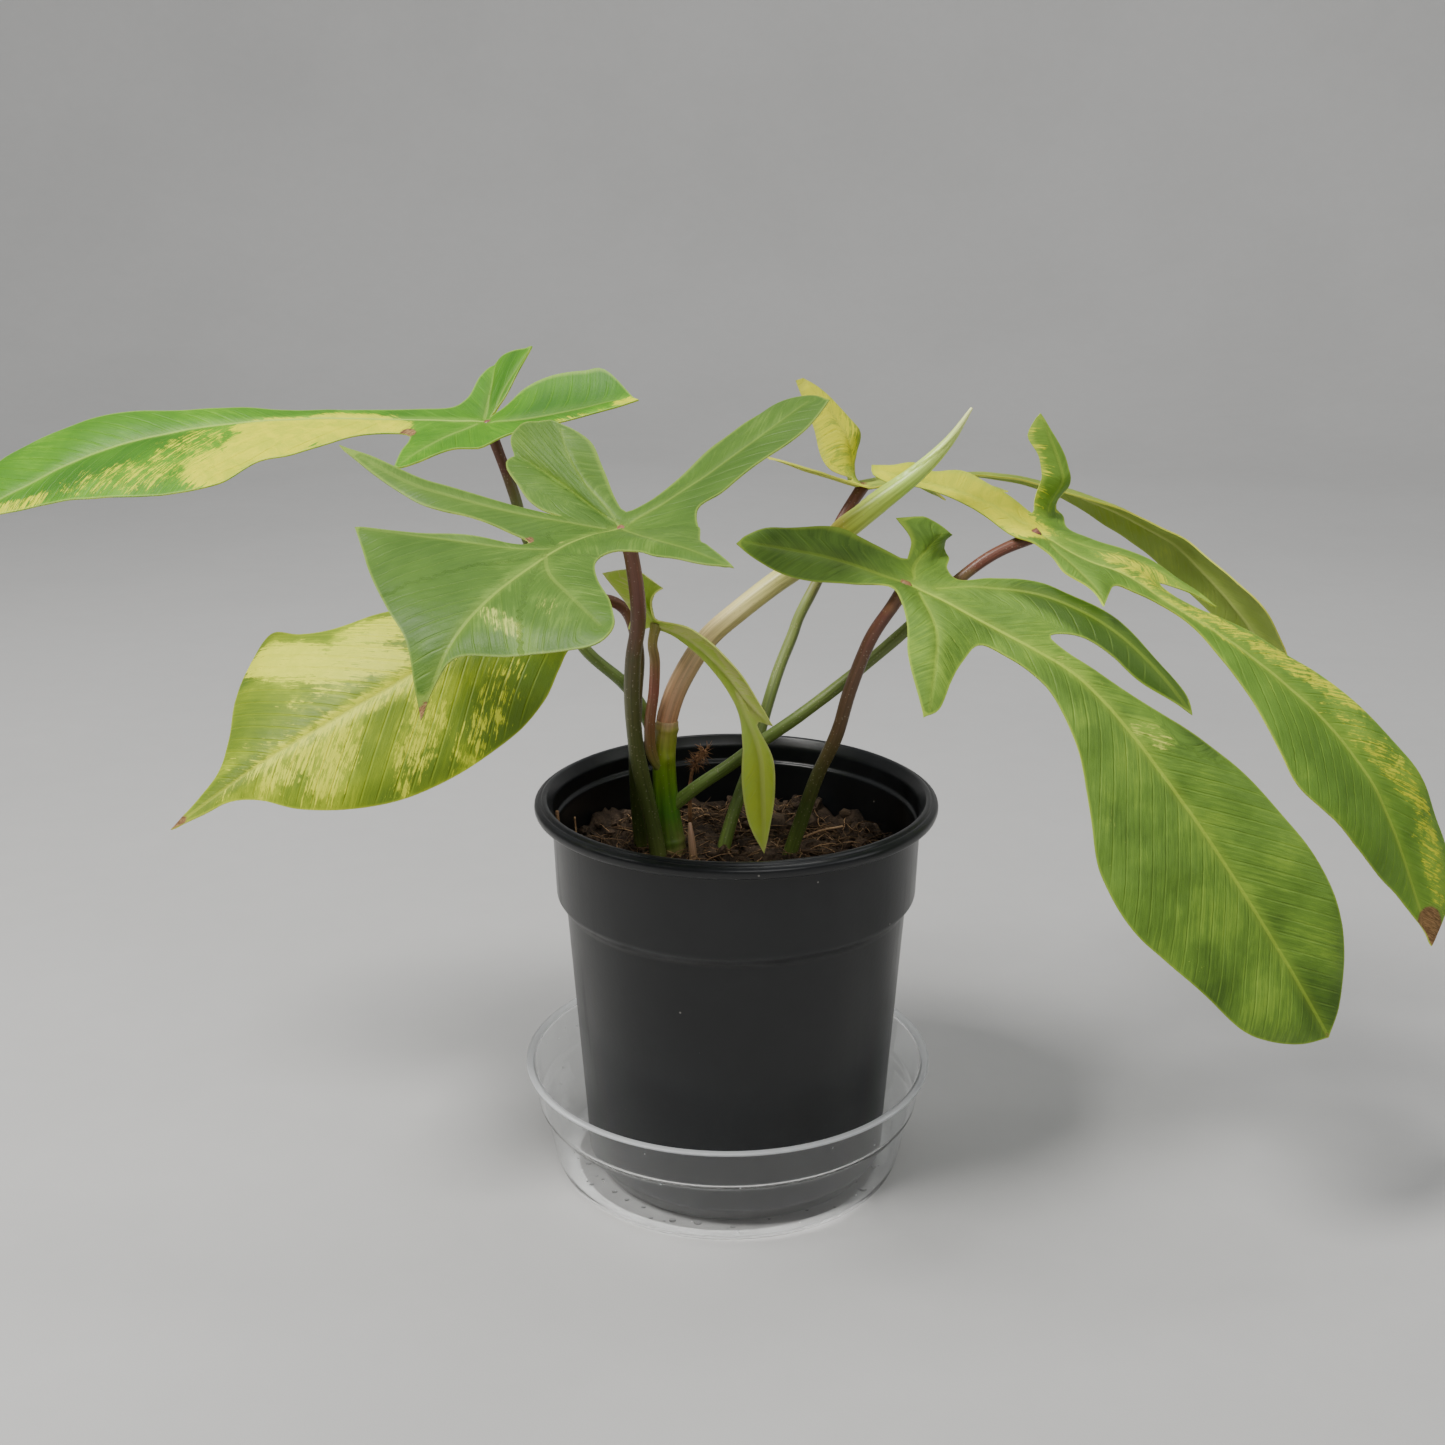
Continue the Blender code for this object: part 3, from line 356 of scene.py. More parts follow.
              (160, 12, 30, 7, -10, 0.50), (-12, 20, 20, 2.5, 0, 0.6), (48, -3, 40, 2, 0, 0.6)],
        dark=[(120, -12, 50, 12, 0, 0.35), (20, 9, 24, 4, 0, 0.4)],
        brown=[(184, 2, 8, 6, 0, 1.5)]),
}


class Tree:
    """Adds nodes to a node tree in a short form and links them."""

    def __init__(self, tree):
        self.tree = tree

    def add(self, kind, inputs=(), **settings):
        node = self.tree.nodes.new(kind)
        for key, value in settings.items():
            setattr(node, key, value)
        for key, value in dict(inputs).items():
            self.put(node.inputs[key], value)
        return node

    def put(self, socket, value):
        if isinstance(value, bpy.types.NodeSocket):
            self.tree.links.new(value, socket)
        elif socket.type == "RGBA" and len(value) == 3:
            socket.default_value = (*value, 1)
        else:
            socket.default_value = value

    def math(self, operation, a, b=0.0, clamp=False):
        node = self.add("ShaderNodeMath", operation=operation, use_clamp=clamp)
        self.put(node.inputs[0], a)
        self.put(node.inputs[1], b)
        return node.outputs[0]

    def mix(self, share, a, b, blend="MIX"):
        node = self.add("ShaderNodeMix", data_type="RGBA", blend_type=blend)
        self.put(node.inputs["Factor"], share)
        self.put(node.inputs[6], a)
        self.put(node.inputs[7], b)
        return node.outputs[2]

    def span(self, value, low, high, to_low=0.0, to_high=1.0):
        """The value's smooth passage from low to high."""
        node = self.add("ShaderNodeMapRange", interpolation_type="SMOOTHSTEP")
        for key, number in (("From Min", low), ("From Max", high), ("To Min", to_low),
                            ("To Max", to_high)):
            self.put(node.inputs[key], number)
        self.put(node.inputs["Value"], value)
        return node.outputs["Result"]

    def noise(self, vector, scale, detail=2.0, roughness=0.5, distortion=0.0):
        node = self.add("ShaderNodeTexNoise", {"Vector": vector, "Scale": scale, "Detail": detail,
                                               "Roughness": roughness, "Distortion": distortion})
        return node.outputs["Fac"]

    def mapped(self, vector, scale):
        node = self.add("ShaderNodeMapping", {"Vector": vector, "Scale": scale})
        return node.outputs["Vector"]

    def attribute(self, name, output="Fac"):
        return self.add("ShaderNodeAttribute", attribute_name=name).outputs[output]

    def place(self):
        """Object coordinates."""
        return self.add("ShaderNodeTexCoord").outputs["Object"]

    def bump(self, height, strength, distance):
        node = self.add("ShaderNodeBump", {"Strength": strength, "Distance": distance,
                                           "Height": height})
        return node.outputs["Normal"]


def new_group(name, inputs, outputs):
    """An empty shader group with named sockets; inputs and outputs are (name, kind, value)."""
    group = bpy.data.node_groups.new(name, "ShaderNodeTree")
    for sockets, way in ((inputs, "INPUT"), (outputs, "OUTPUT")):
        for label, kind, value in sockets:
            socket = group.interface.new_socket(label, in_out=way, socket_type="NodeSocket" + kind)
            if value is not None:
                socket.default_value = (*value, 1) if kind == "Color" else value
    tree = Tree(group)
    return group, tree, tree.add("NodeGroupInput").outputs, tree.add("NodeGroupOutput").inputs


def new_material(name, roughness=0.5, **settings):
    """A material, its tree and its Principled shader; settings are the shader's constants."""
    mat = bpy.data.materials.new(name)
    mat.use_nodes = True
    shader = mat.node_tree.nodes["Principled BSDF"]
    shader.inputs["Roughness"].default_value = roughness
    for key, value in settings.items():
        shader.inputs[key.replace("_", " ")].default_value = value
    return mat, Tree(mat.node_tree), shader


def mottle_group():
    """Slow and fine variation of a colour, for plastics, stems and mix."""
    group, t, take, give = new_group(
        "Mottle", [("Color", "Color", (0.5, 0.5, 0.5)), ("Dark", "Color", (0.2, 0.2, 0.2)),
                   ("Vector", "Vector", None), ("Scale", "Float", 60.0), ("Amount", "Float", 0.5)],
        [("Color", "Color", None), ("Mask", "Float", None)])
    slow = t.noise(take["Vector"], take["Scale"], 3.0, 0.55)
    fine = t.noise(take["Vector"], t.math("MULTIPLY", take["Scale"], 7.0), 2.0, 0.6)
    mask = t.span(t.math("ADD", t.math("MULTIPLY", slow, 0.7), t.math("MULTIPLY", fine, 0.3)),
                  0.38, 0.64)
    share = t.math("MULTIPLY", mask, take["Amount"], True)
    t.put(give["Color"], t.mix(share, take["Color"], take["Dark"]))
    t.put(give["Mask"], mask)
    return group


def speck_group():
    """Small scattered specks: pores on stalks, dust and nicks on plastic."""
    group, t, take, give = new_group(
        "Specks", [("Vector", "Vector", None), ("Scale", "Float", 900.0), ("Size", "Float", 0.2),
                   ("Share", "Float", 0.4)], [("Mask", "Float", None)])
    cells = t.add("ShaderNodeTexVoronoi", {"Vector": take["Vector"], "Scale": take["Scale"]})
    size = t.math("MULTIPLY", take["Size"], 0.5)
    dot = t.span(cells.outputs["Distance"], size, take["Size"], 1.0, 0.0)
    red = t.add("ShaderNodeSeparateColor", {"Color": cells.outputs["Color"]}).outputs[0]
    chosen = t.math("LESS_THAN", red, take["Share"])
    t.put(give["Mask"], t.math("MULTIPLY", dot, chosen))
    return group


def leaf_group():
    """Colour, roughness and relief of a leaf, from the marks stored on its points."""
    group, t, take, give = new_group(
        "Leaf skin",
        [("Green", "Color", (0.1, 0.24, 0.05)), ("Deep Green", "Color", (0.05, 0.12, 0.03)),
         ("Cream", "Color", (0.7, 0.7, 0.3)), ("Vein", "Color", (0.5, 0.6, 0.3)),
         ("Light Green", "Color", (0.2, 0.35, 0.06)), ("Mottle", "Float", 0.5)],
        [("Color", "Color", None), ("Roughness", "Float", None), ("Height", "Float", None)])
    grain = t.attribute("grain", "Vector")
    flat = t.attribute("flat", "Vector")
    streak = t.noise(t.mapped(grain, (7.5, 0.9, 1.0)), 1.0, 4.0, 0.66, 0.9)
    fleck = t.noise(t.mapped(grain, (20.0, 5.0, 1.0)), 1.0, 3.0, 0.65, 0.6)
    cloud = t.noise(flat, 0.55, 3.0, 0.55)
    blot = t.noise(flat, 2.3, 4.0, 0.62, 0.7)
    drift = t.math("ADD", t.math("MULTIPLY", streak, 0.46), t.math("MULTIPLY", fleck, 0.26))
    drift = t.math("ADD", drift, t.math("MULTIPLY", blot, 0.28))
    drift = t.math("MULTIPLY", t.math("SUBTRACT", drift, 0.5), 4.4)
    drift = t.math("MULTIPLY", drift, take["Mottle"])
    sector = t.math("ADD", t.attribute("pale"), drift)
    cream = t.span(sector, 0.48, 0.66)
    wander = t.math("MULTIPLY", t.math("SUBTRACT", cloud, 0.5), 2.0)
    grainy = t.math("MULTIPLY", t.math("SUBTRACT", streak, 0.5), 1.6)
    dark = t.math("ADD", t.attribute("dark"), t.math("ADD", wander, grainy))
    green = t.mix(t.span(dark, -0.25, 1.0), take["Green"], take["Deep Green"])
    brighter = t.math("ADD", t.math("MULTIPLY", sector, 0.8), t.math("MULTIPLY", grainy, -0.6))
    light = t.span(t.math("SUBTRACT", brighter, dark), 0.0, 0.75)
    green = t.mix(t.math("MULTIPLY", light, 0.8), green, take["Light Green"])
    turn = t.math("SUBTRACT", t.math("FRACT", t.attribute("phase")), 0.5)
    side = t.span(t.math("ABSOLUTE", turn), 0.40, 0.49)
    side = t.math("MULTIPLY", side, t.attribute("quiet"))
    green = t.mix(t.math("MULTIPLY", side, 0.20), green, take["Light Green"])
    cream_tone = t.mix(t.span(blot, 0.36, 0.66), take["Cream"], take["Light Green"])
    cream_tone = t.mix(0.30, take["Cream"], cream_tone)
    colour = t.mix(cream, green, cream_tone)
    rib = t.attribute("rib")
    weight = t.attribute("vein_weight")
    vein = t.math("MULTIPLY", t.span(rib, 0.32, 0.85, 1.0, 0.0), weight)
    halo = t.math("MULTIPLY", t.span(rib, 0.5, 3.2, 1.0, 0.0), t.math("MULTIPLY", weight, 0.22))
    colour = t.mix(t.math("MAXIMUM", t.math("MULTIPLY", vein, 0.8), halo), colour, take["Vein"])
    # Paler band along the blade's edge, mixed towards the vein colour: a painted highlight on the
    # margin.
    edge = t.attribute("edge")
    rim = t.math("MULTIPLY", t.span(edge, 0.1, 0.75, 1.0, 0.0), 0.45)
    colour = t.mix(rim, colour, take["Vein"])
    speck = t.math("MULTIPLY", t.span(t.noise(flat, 8.0, 3.0, 0.6, 1.5), 0.70, 0.76), 0.28)
    colour = t.mix(speck, colour, take["Cream"])
    ragged = t.math("MULTIPLY", t.math("SUBTRACT", fleck, 0.5), 0.8)
    scorch = t.math("ADD", t.attribute("brown"), ragged)
    scorch = t.span(scorch, 0.45, 0.75)
    burnt = t.mix(t.span(fleck, 0.35, 0.65), (0.38, 0.22, 0.09), (0.13, 0.06, 0.03))
    colour = t.mix(scorch, colour, burnt)
    t.put(give["Color"], colour)
    rough = t.math("ADD", 0.40, t.math("MULTIPLY", fleck, 0.16))
    rough = t.math("ADD", rough, t.math("MULTIPLY", scorch, 0.35))
    t.put(give["Roughness"], rough)
    pores = t.noise(flat, 18.0, 2.0, 0.5)
    height = t.math("ADD", t.math("MULTIPLY", side, -0.22), t.math("MULTIPLY", pores, 0.10))
    height = t.math("ADD", height, t.math("MULTIPLY", streak, 0.25))
    t.put(give["Height"], height)
    return group


def leaf_materials(name, leaf, groups):
    """Upper side, underside and rim."""
    green, deep, cream, vein, light = leaf["look"]

    def faded(colour, to, share):
        return tuple(a + (b - a) * share for a, b in zip(colour, to))

    # under brightens the underside colours past their own tone: painted light for an underside in
    # shade.
    underside_painted_light = leaf.get("under", 1.0)
    under = (faded(green, (0.22, 0.30, 0.13), 0.4), faded(deep, green, 0.7),
             faded(cream, (0.6, 0.65, 0.35), 0.4), faded(vein, (0.42, 0.50, 0.22), 0.5),
             faded(light, (0.30, 0.38, 0.12), 0.4))
    under = [tuple(min(0.85, underside_painted_light * part) for part in tone) for tone in under]
    sides = {"upper": (green, deep, cream, vein, light, 0.0, 0.22), "under": (*under, 0.14, 0.34)}
    made = []
    for side, (*tones, rougher, glow) in sides.items():
        mat, t, shader = new_material(name + "_" + side, Specular_IOR_Level=0.26)
        skin = t.add("ShaderNodeGroup", node_tree=groups["leaf"])
        for label, tone in zip(("Green", "Deep Green", "Cream", "Vein", "Light Green"), tones):
            t.put(skin.inputs[label], tone)
        t.put(skin.inputs["Mottle"], leaf["mottle"])
        t.put(shader.inputs["Base Color"], skin.outputs["Color"])
        t.put(shader.inputs["Roughness"], t.math("ADD", skin.outputs["Roughness"], rougher))
        normal = t.bump(skin.outputs["Height"], 0.8, 0.0008)
        t.put(shader.inputs["Normal"], normal)
        through = t.add("ShaderNodeBsdfTranslucent")
        t.put(through.inputs["Color"], t.mix(0.6, skin.outputs["Color"], light))
        blend = t.add("ShaderNodeMixShader", {"Fac": glow})
        t.put(blend.inputs[1], shader.outputs[0])
        t.put(blend.inputs[2], through.outputs[0])
        t.put(mat.node_tree.nodes["Material Output"].inputs["Surface"], blend.outputs[0])
        made.append(mat)
    mat, t, shader = new_material(name + "_rim", 0.5)
    mottle = t.add("ShaderNodeGroup", {"Color": faded(vein, cream, 0.4), "Dark": light,
                                       "Vector": t.place(), "Scale": 90.0, "Amount": 0.8},
                   node_tree=groups["mottle"])
    t.put(shader.inputs["Base Color"], mottle.outputs["Color"])
    return made + [mat]


def skin_material(name, stops, groups, speck=(0.6, 0.5, 0.35), specks=0.35, roughness=0.4,
                  relief=0.3):
    """A stalk's skin; stops are (place along it from foot to tip, colour)."""
    mat, t, shader = new_material(name, roughness, Specular_IOR_Level=0.4)
    along = t.attribute("along")
    place = t.place()
    wander = t.math("MULTIPLY", t.math("SUBTRACT", t.noise(place, 120.0, 3.0), 0.5), 0.22)
    ramp = t.add("ShaderNodeValToRGB", {"Fac": t.math("ADD", along, wander)})
    points = ramp.color_ramp.elements
    while len(points) < len(stops):
        points.new(0.5)
    for point, (at, colour) in zip(points, stops):
        point.position = at
        point.color = (*colour, 1)
    lines = t.noise(t.mapped(t.attribute("wrap", "Vector"), (9.0, 0.35, 1.0)), 1.0, 3.0, 0.6)
    tone = t.mix(t.math("MULTIPLY", t.span(lines, 0.35, 0.7), 0.35), ramp.outputs["Color"],
                 (0.02, 0.03, 0.01))
    dots = t.add("ShaderNodeGroup", {"Vector": place, "Scale": 1150.0, "Size": 0.34,
                                     "Share": specks}, node_tree=groups["specks"])
    tone = t.mix(t.math("MULTIPLY", dots.outputs["Mask"], 0.26), tone, speck)
    t.put(shader.inputs["Base Color"], tone)
    height = t.math("ADD", lines, t.math("MULTIPLY", dots.outputs["Mask"], 0.5))
    t.put(shader.inputs["Normal"], t.bump(height, relief, 0.0005))
    return mat


def mesh_object(name, verts, faces, mats):
    """A mesh object from points in millimetres."""
    mesh = bpy.data.meshes.new(name)
    mesh.from_pydata((np.asarray(verts) * MM).tolist(), [], faces)
    for mat in mats:
        mesh.materials.append(mat)
    mesh.shade_smooth()
    mesh.validate()
    obj = bpy.data.objects.new(name, mesh)
    bpy.context.scene.collection.objects.link(obj)
    return obj


def bands(count, steps, first=0, flip=False):
    """Quads between neighbouring rings of points."""
    faces = []
    for ring in range(count - 1):
        for k in range(steps):
            a, b = first + ring * steps + k, first + ring * steps + (k + 1) % steps
            faces.append((a, b, b + steps, a + steps) if flip else (a, a + steps, b + steps, b))
    return faces


def closed_rings(count, steps, ends, flip=False):
    """Bands, and a fan at each end round the points whose numbers are the ends."""
    faces = bands(count, steps, flip=flip)
    last = (count - 1) * steps
    for k in range(steps):
        a, b = ((k + 1) % steps, k) if flip else (k, (k + 1) % steps)
        faces.append((ends[0], a, b))
        faces.append((ends[1], last + b, last + a))
    return faces


def linked(name, shape):
    """An object with the mesh that a bmesh holds."""
    mesh = bpy.data.meshes.new(name)
    shape.to_mesh(mesh)
    shape.free()
    obj = bpy.data.objects.new(name, mesh)
    bpy.context.scene.collection.objects.link(obj)
    return obj


def store(mesh, name, values):
    """Stores one number or one vector for each point."""
    values = np.asarray(values, np.float32)
    kind = "FLOAT" if values.ndim == 1 else "FLOAT_VECTOR"
    layer = mesh.attributes.new(name, kind, "POINT")
    layer.data.foreach_set("value" if kind == "FLOAT" else "vector", values.ravel())


def baked(obj):
    """The object with its modifiers applied to a plain mesh."""
    bpy.context.view_layer.update()
    evaluated = obj.evaluated_get(bpy.context.evaluated_depsgraph_get())
    mesh = bpy.data.meshes.new_from_object(evaluated)
    mesh.name = obj.name
    obj.modifiers.clear()
    obj.data = mesh
    return obj


def finish_piece(obj, slot, *nodes):
    """Rides the piece on the body and hides the imported nodes that it stands for; its slot is not
    used.
    """
    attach(obj, BODY)
    if nodes:
        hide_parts(*nodes)
    return obj


# ---------------------------------------------------------------- leaves

def flat_curve(outline, spacing):
    """Closed smooth curve through an outline's points, sharp at the marked ones."""
    marks = [index for index, point in enumerate(outline) if len(point) > 2]
    flat = [point[:2] for point in outline]
    pieces = []
    for start, end in zip(marks, marks[1:] + [marks[0] + len(flat)]):
        stretch = [flat[index % len(flat)] for index in range(start, end + 1)]
        pieces.append(spaced(smooth_path(stretch), spacing)[:-1])
    return np.vstack(pieces)


def inside(points, border):
    """Which points lie inside the closed border."""
    result = np.zeros(len(points), bool)
    ax, ay = border.T
    bx, by = np.roll(border, -1, axis=0).T
    slope = (bx - ax) / np.where(by == ay, 1e-9, by - ay)
    for part in np.array_split(np.arange(len(points)), max(1, len(points) // 2000)):
        x, y = points[part, :1], points[part, 1:]
        spans = (ay > y) != (by > y)
        result[part] = (spans & (x < ax + (y - ay) * slope)).sum(axis=1) % 2 == 1
    return result


def to_line(points, line):
    """Distance to a polyline, signed side and how far along it the nearest place is."""
    a, b = line[:-1], line[1:]
    step = b - a
    length = np.linalg.norm(step, axis=1)
    start = np.concatenate(([0], np.cumsum(length)[:-1]))
    offset = points[:, None] - a
    share = np.clip((offset * step).sum(-1) / np.maximum(length ** 2, 1e-9), 0, 1)
    gap = offset - step * share[..., None]
    distance = np.linalg.norm(gap, axis=-1)
    nearest = distance.argmin(axis=1)
    rows = np.arange(len(points))
    cross = step[nearest, 0] * gap[rows, nearest, 1] - step[nearest, 1] * gap[rows, nearest, 0]
    return (distance[rows, nearest], np.sign(cross + 1e-12),
            start[nearest] + share[rows, nearest] * length[nearest])


def soft_ovals(points, ovals):
    """Strength of soft ovals (u, v, length, width, slant, strength) at the points."""
    total = np.zeros(len(points))
    for u, v, length, width, slant, strength in ovals:
        turn = math.radians(slant)
        du, dv = points[:, 0] - u, points[:, 1] - v
        along = du * math.cos(turn) + dv * math.sin(turn)
        across = dv * math.cos(turn) - du * math.sin(turn)
        r = np.sqrt((along / (length * 0.62)) ** 2 + (across / (width * 0.62)) ** 2)
        total = np.maximum(total, strength * ease(1.45 - 0.72 * r))
    return total


def leaf_net(leaf, spacing):
    """Points and triangles over the flat outline, closer beside the main veins."""
    border = flat_curve(leaf["outline"], spacing)
    veins = [smooth_path(vein, 8) for vein in leaf["veins"]]
    rows = []
    for vein in veins:
        line = spaced(vein, spacing)
        direction = unit(np.gradient(line, axis=0))
        across = np.stack((-direction[:, 1], direction[:, 0]), -1)
        taper = np.clip(np.linspace(3.0, 0.25, len(line)), 0, 1)[:, None]
        for row in VEIN_ROWS:
            rows.append(line + across * row * taper)
    rows = np.vstack(rows)
    low, high = border.min(axis=0), border.max(axis=0)
    grid = []
    for number, v in enumerate(np.arange(low[1], high[1], spacing * 0.87)):
        line = np.arange(low[0] + (number % 2) * spacing / 2, high[0], spacing)
        grid.append(np.stack((line, np.full(len(line), v)), -1))
    grid = np.vstack(grid)
    vein_gap = np.min([to_line(grid, vein)[0] for vein in veins], axis=0)
    grid = grid[vein_gap > VEIN_ROWS[-1] + 0.45 * spacing]
    inner = np.vstack((rows, grid))
    inner = inner[inside(inner, border)]
    closed = np.vstack((border, border[:1]))
    inner = inner[to_line(inner, closed)[0] > 0.5 * spacing]
    keep = np.unique(np.round(inner / 0.35).astype(int), axis=0, return_index=True)[1]
    points = np.vstack((border, inner[np.sort(keep)]))
    edges = [(i, (i + 1) % len(border)) for i in range(len(border))]
    verts, _, faces, *_ = delaunay_2d_cdt([Vector(p) for p in points], edges, [], 1, 0.0001)
    return np.array([tuple(vert) for vert in verts]), faces, closed, veins


def leaf_marks(flat, closed, veins, leaf):
    """What the leaf's material and relief read at each point."""
    found = np.array([to_line(flat, vein) for vein in veins])
    reach = found[:, 0].copy()
    order = np.sort(reach, axis=0)
    main = reach.argmin(axis=0)
    rows = np.arange(flat.shape[0])
    distance, side, along = found[main, :, rows].T
    between = order[1] - order[0] if len(veins) > 1 else np.full(len(flat), 20.0)
    phase = (along - SIDE_VEIN_SLANT * distance) / SIDE_VEIN_SPACING + 0.5 * (side > 0)
    nearness = 1 - np.abs(2 * (phase - np.floor(phase)) - 1)
    calm = ease(between / 5) * ease((distance - 0.8) / 2.5)
    edge = to_line(flat, closed)[0]
    quiet = calm * ease(edge / 3)
    grain = np.stack(((along - SIDE_VEIN_SLANT * distance) / 10, distance / 10,
                      main * 3.7 + (side > 0) * 1.9), -1)
    reach_of = np.array([np.linalg.norm(np.diff(vein, axis=0), axis=1).sum() for vein in veins])
    thinner = 1 - 0.55 * np.clip(along / reach_of[main], 0, 1) ** 2
    weight = np.where(main == 0, 1.0, 0.45) * thinner
    marks = {"rib": distance, "edge": edge, "grain": grain, "vein_weight": weight,
             "phase": phase + 50, "quiet": quiet,
             "flat": np.column_stack((flat / 10, np.zeros(len(flat))))}
    for name in ("pale", "dark", "brown"):
        marks[name] = soft_ovals(flat, leaf.get(name, ()))
    swell = np.sin(math.pi * nearness) * quiet
    return marks, swell


def build_leaf(name, leaf, spacing, thickness, groups):
    """One blade: its points laid in space, with veins and waves in relief, made a thin solid."""
    flat, faces, closed, veins = leaf_net(leaf, spacing)
    bends = {key: leaf[key] for key in ("turn", "cleft", "fold", "arch") if key in leaf}
    shape = Blade(leaf["spine"], leaf["back"], **bends)
    marks, swell = leaf_marks(flat, closed, veins, leaf)
    u, v = flat.T
    eps = 0.4
    middle = shape.place(u, v)
    over_u = shape.place(u + eps, v) - shape.place(u - eps, v)
    over_v = shape.place(u, v + eps) - shape.place(u, v - eps)
    normal = unit(np.cross(over_u, over_v))
    rib, edge = marks["rib"], marks["edge"]
    seed = sum(ord(letter) for letter in name)
    ruffle = np.array([noise.noise(Vector((a / 24 + seed, b / 24, 0.5))) for a, b in flat])
    dimple = np.array([noise.noise(Vector((a / 9, b / 9 + seed, 2.5))) for a, b in flat])
    relief = 0.75 * (1 - np.exp(-rib / 5)) * ease(edge / 8) - 0.30 * np.exp(-(rib / 0.8) ** 2)
    relief += 0.24 * swell + 0.28 * dimple
    relief += leaf["wave"] * 2.0 * ruffle * (0.35 + np.exp(-edge / 9)) * ease(rib / 6)
    relief -= 0.5 * np.exp(-edge / 2.5)
    points = middle + normal * (relief + thickness / 2)[:, None]
    points[:, 2] += MIX_TOP
    mats = leaf_materials(name, leaf, groups)
    obj = mesh_object(name, points, faces, mats)
    for label, values in marks.items():
        store(obj.data, label, values)
    ribbed = obj.vertex_groups.new(name="thickness")
    along_vein = np.exp(-(rib / 0.9) ** 2)
    share = THIN_SHARE + (1 - THIN_SHARE) * along_vein * np.clip(edge / 4, 0.3, 1)
    for index, value in enumerate(share):
        ribbed.add([index], float(value), "REPLACE")
    shell = obj.modifiers.new("Thickness", "SOLIDIFY")
    shell.thickness = thickness / THIN_SHARE * MM
    shell.offset = -1
    shell.vertex_group = ribbed.name
    shell.material_offset = 1
    shell.material_offset_rim = 2
    obj = baked(obj)
    obj.vertex_groups.clear()
    obj.data.set_sharp_from_angle(angle=math.radians(62))
    return finish_piece(obj, leaf["slot"], name + "_blade")


# ---------------------------------------------------------------- stems and stalks

# Each petiole's radius at its foot, and its route from there to just under the blade's joint
STALKS = {
    "leaf_1": (2.04, [(-23, 7.5, 38), (-26.3, 9, 41), (-31.1, 11, 51), (-36.9, 13, 58),
                      (-48.8, 16, 68), (-58.4, 19, 83), (-67.1, 22, 103), (-71, 24, 117),
                      (-76.3, 25, 132.5)]),
    "leaf_2": (2.64, [(-24.2, 0, -SOCKET_DEPTH), (-24.8, -1, 0), (-27.1, -3, 16), (-30, -6, 32),
                      (-31.6, -8, 43), (-32.4, -12, 59), (-31.7, -16, 73.5), (-29.9, -20, 85),
                      (-29.8, -25, 96), (-31.6, -30, 111)]),
    "leaf_3": (2.16, [(-30.5, 10, -SOCKET_DEPTH), (-31.2, 10, 0), (-32.4, 9, 18.5), (-32.7, 6, 37),
                      (-31.9, 2, 55), (-31.1, 4, 70), (-34.5, 8, 82), (-42, 5, 87),
                      (-49.5, -2, 84.5)]),
    "leaf_4": (1.92, [(-23.6, 5, 30), (-27.1, 3, 37), (-27.5, 1, 47.5), (-26.1, 0, 58.5),
                      (-25.6, -2, 69), (-26.2, -3.5, 75)]),
    "leaf_5": (2.16, [(-5, 3, -SOCKET_DEPTH), (-4.6, 4, 0), (-1.6, 7, 12), (2, 11, 22),
                      (5.3, 15, 30.5), (10.6, 22, 48), (14.3, 27, 58.5), (18.6, 31, 68.5),
                      (21.3, 33, 75.5), (27.9, 37, 88), (33.9, 42, 103.5)]),
    "leaf_6": (2.40, [(15.5, 2.5, -SOCKET_DEPTH), (17, 2, 0), (21.6, 0, 16.5), (25.8, -2, 30.5),
                      (31.8, -4, 45.5), (35.5, -6, 60.5), (41.1, -9, 77.5), (47.7, -11, 89)]),
    "leaf_7": (2.16, [(-22, 6, 16), (-20.5, 6, 18), (-12.4, 5, 25), (-1.7, 5, 32.5),
                      (8.6, 5, 40.5), (20.4, 5, 49), (36.3, 6, 61.5), (53.5, 7, 76.5),
                      (65.8, 8, 89), (79.7, 9, 100)]),
}
STEM_PATH = [(-20, 6, -SOCKET_DEPTH), (-20.5, 6, 0), (-22.8, 6, 20), (-23.3, 6, 35), (-22.2, 6, 47)]
SHEATH_PATH = [(-22.3, 6, 44), (-22.1, 6, 48), (-19.3, 6, 57), (-14.1, 6, 67), (-8, 6, 75.5),
               (1.7, 6, 84), (11.8, 6, 92), (21.7, 6, 99), (33, 6, 109)]
SPEAR_PATH = [(31.5, 6, 107.5), (33.8, 6, 109.8), (44.4, 6, 118), (56.4, 5, 127.7),
              (65.2, 5, 137), (71.4, 4, 147)]
ROOT_PATH = [(-13.2, -2, -SOCKET_DEPTH), (-13.7, -1.5, 0), (-14.4, -0.5, 8), (-15, 0.5, 14)]
TWIG_PATH = [(-15, 30, -8), (-15.5, 30, 10), (-15, 30, 20), (-13, 30, 25), (-10, 30, 29)]
STRAWS = (([(-52, -6, 0), (-56, -7, 10), (-57.2, -7.5, 21)], 0.6),
          ([(-50, -2, 0), (-51.5, -2, 9), (-52, -2, 17)], 0.3),
          ([(-41, -8, 0), (-43, -9, 5), (-40, -10, 10)], 0.3),
          ([(8, -10, 2), (16, -12, 4.5), (27, -11, 3.5)], 0.4),
          ([(30, -22, 1), (36, -24, 4), (43, -22, 3)], 0.35),
          ([(22, 18, 2), (28, 17, 5), (36, 19, 6)], 0.35),
          ([(-4, -26, 1), (0, -30, 4), (6, -30, 3)], 0.35))


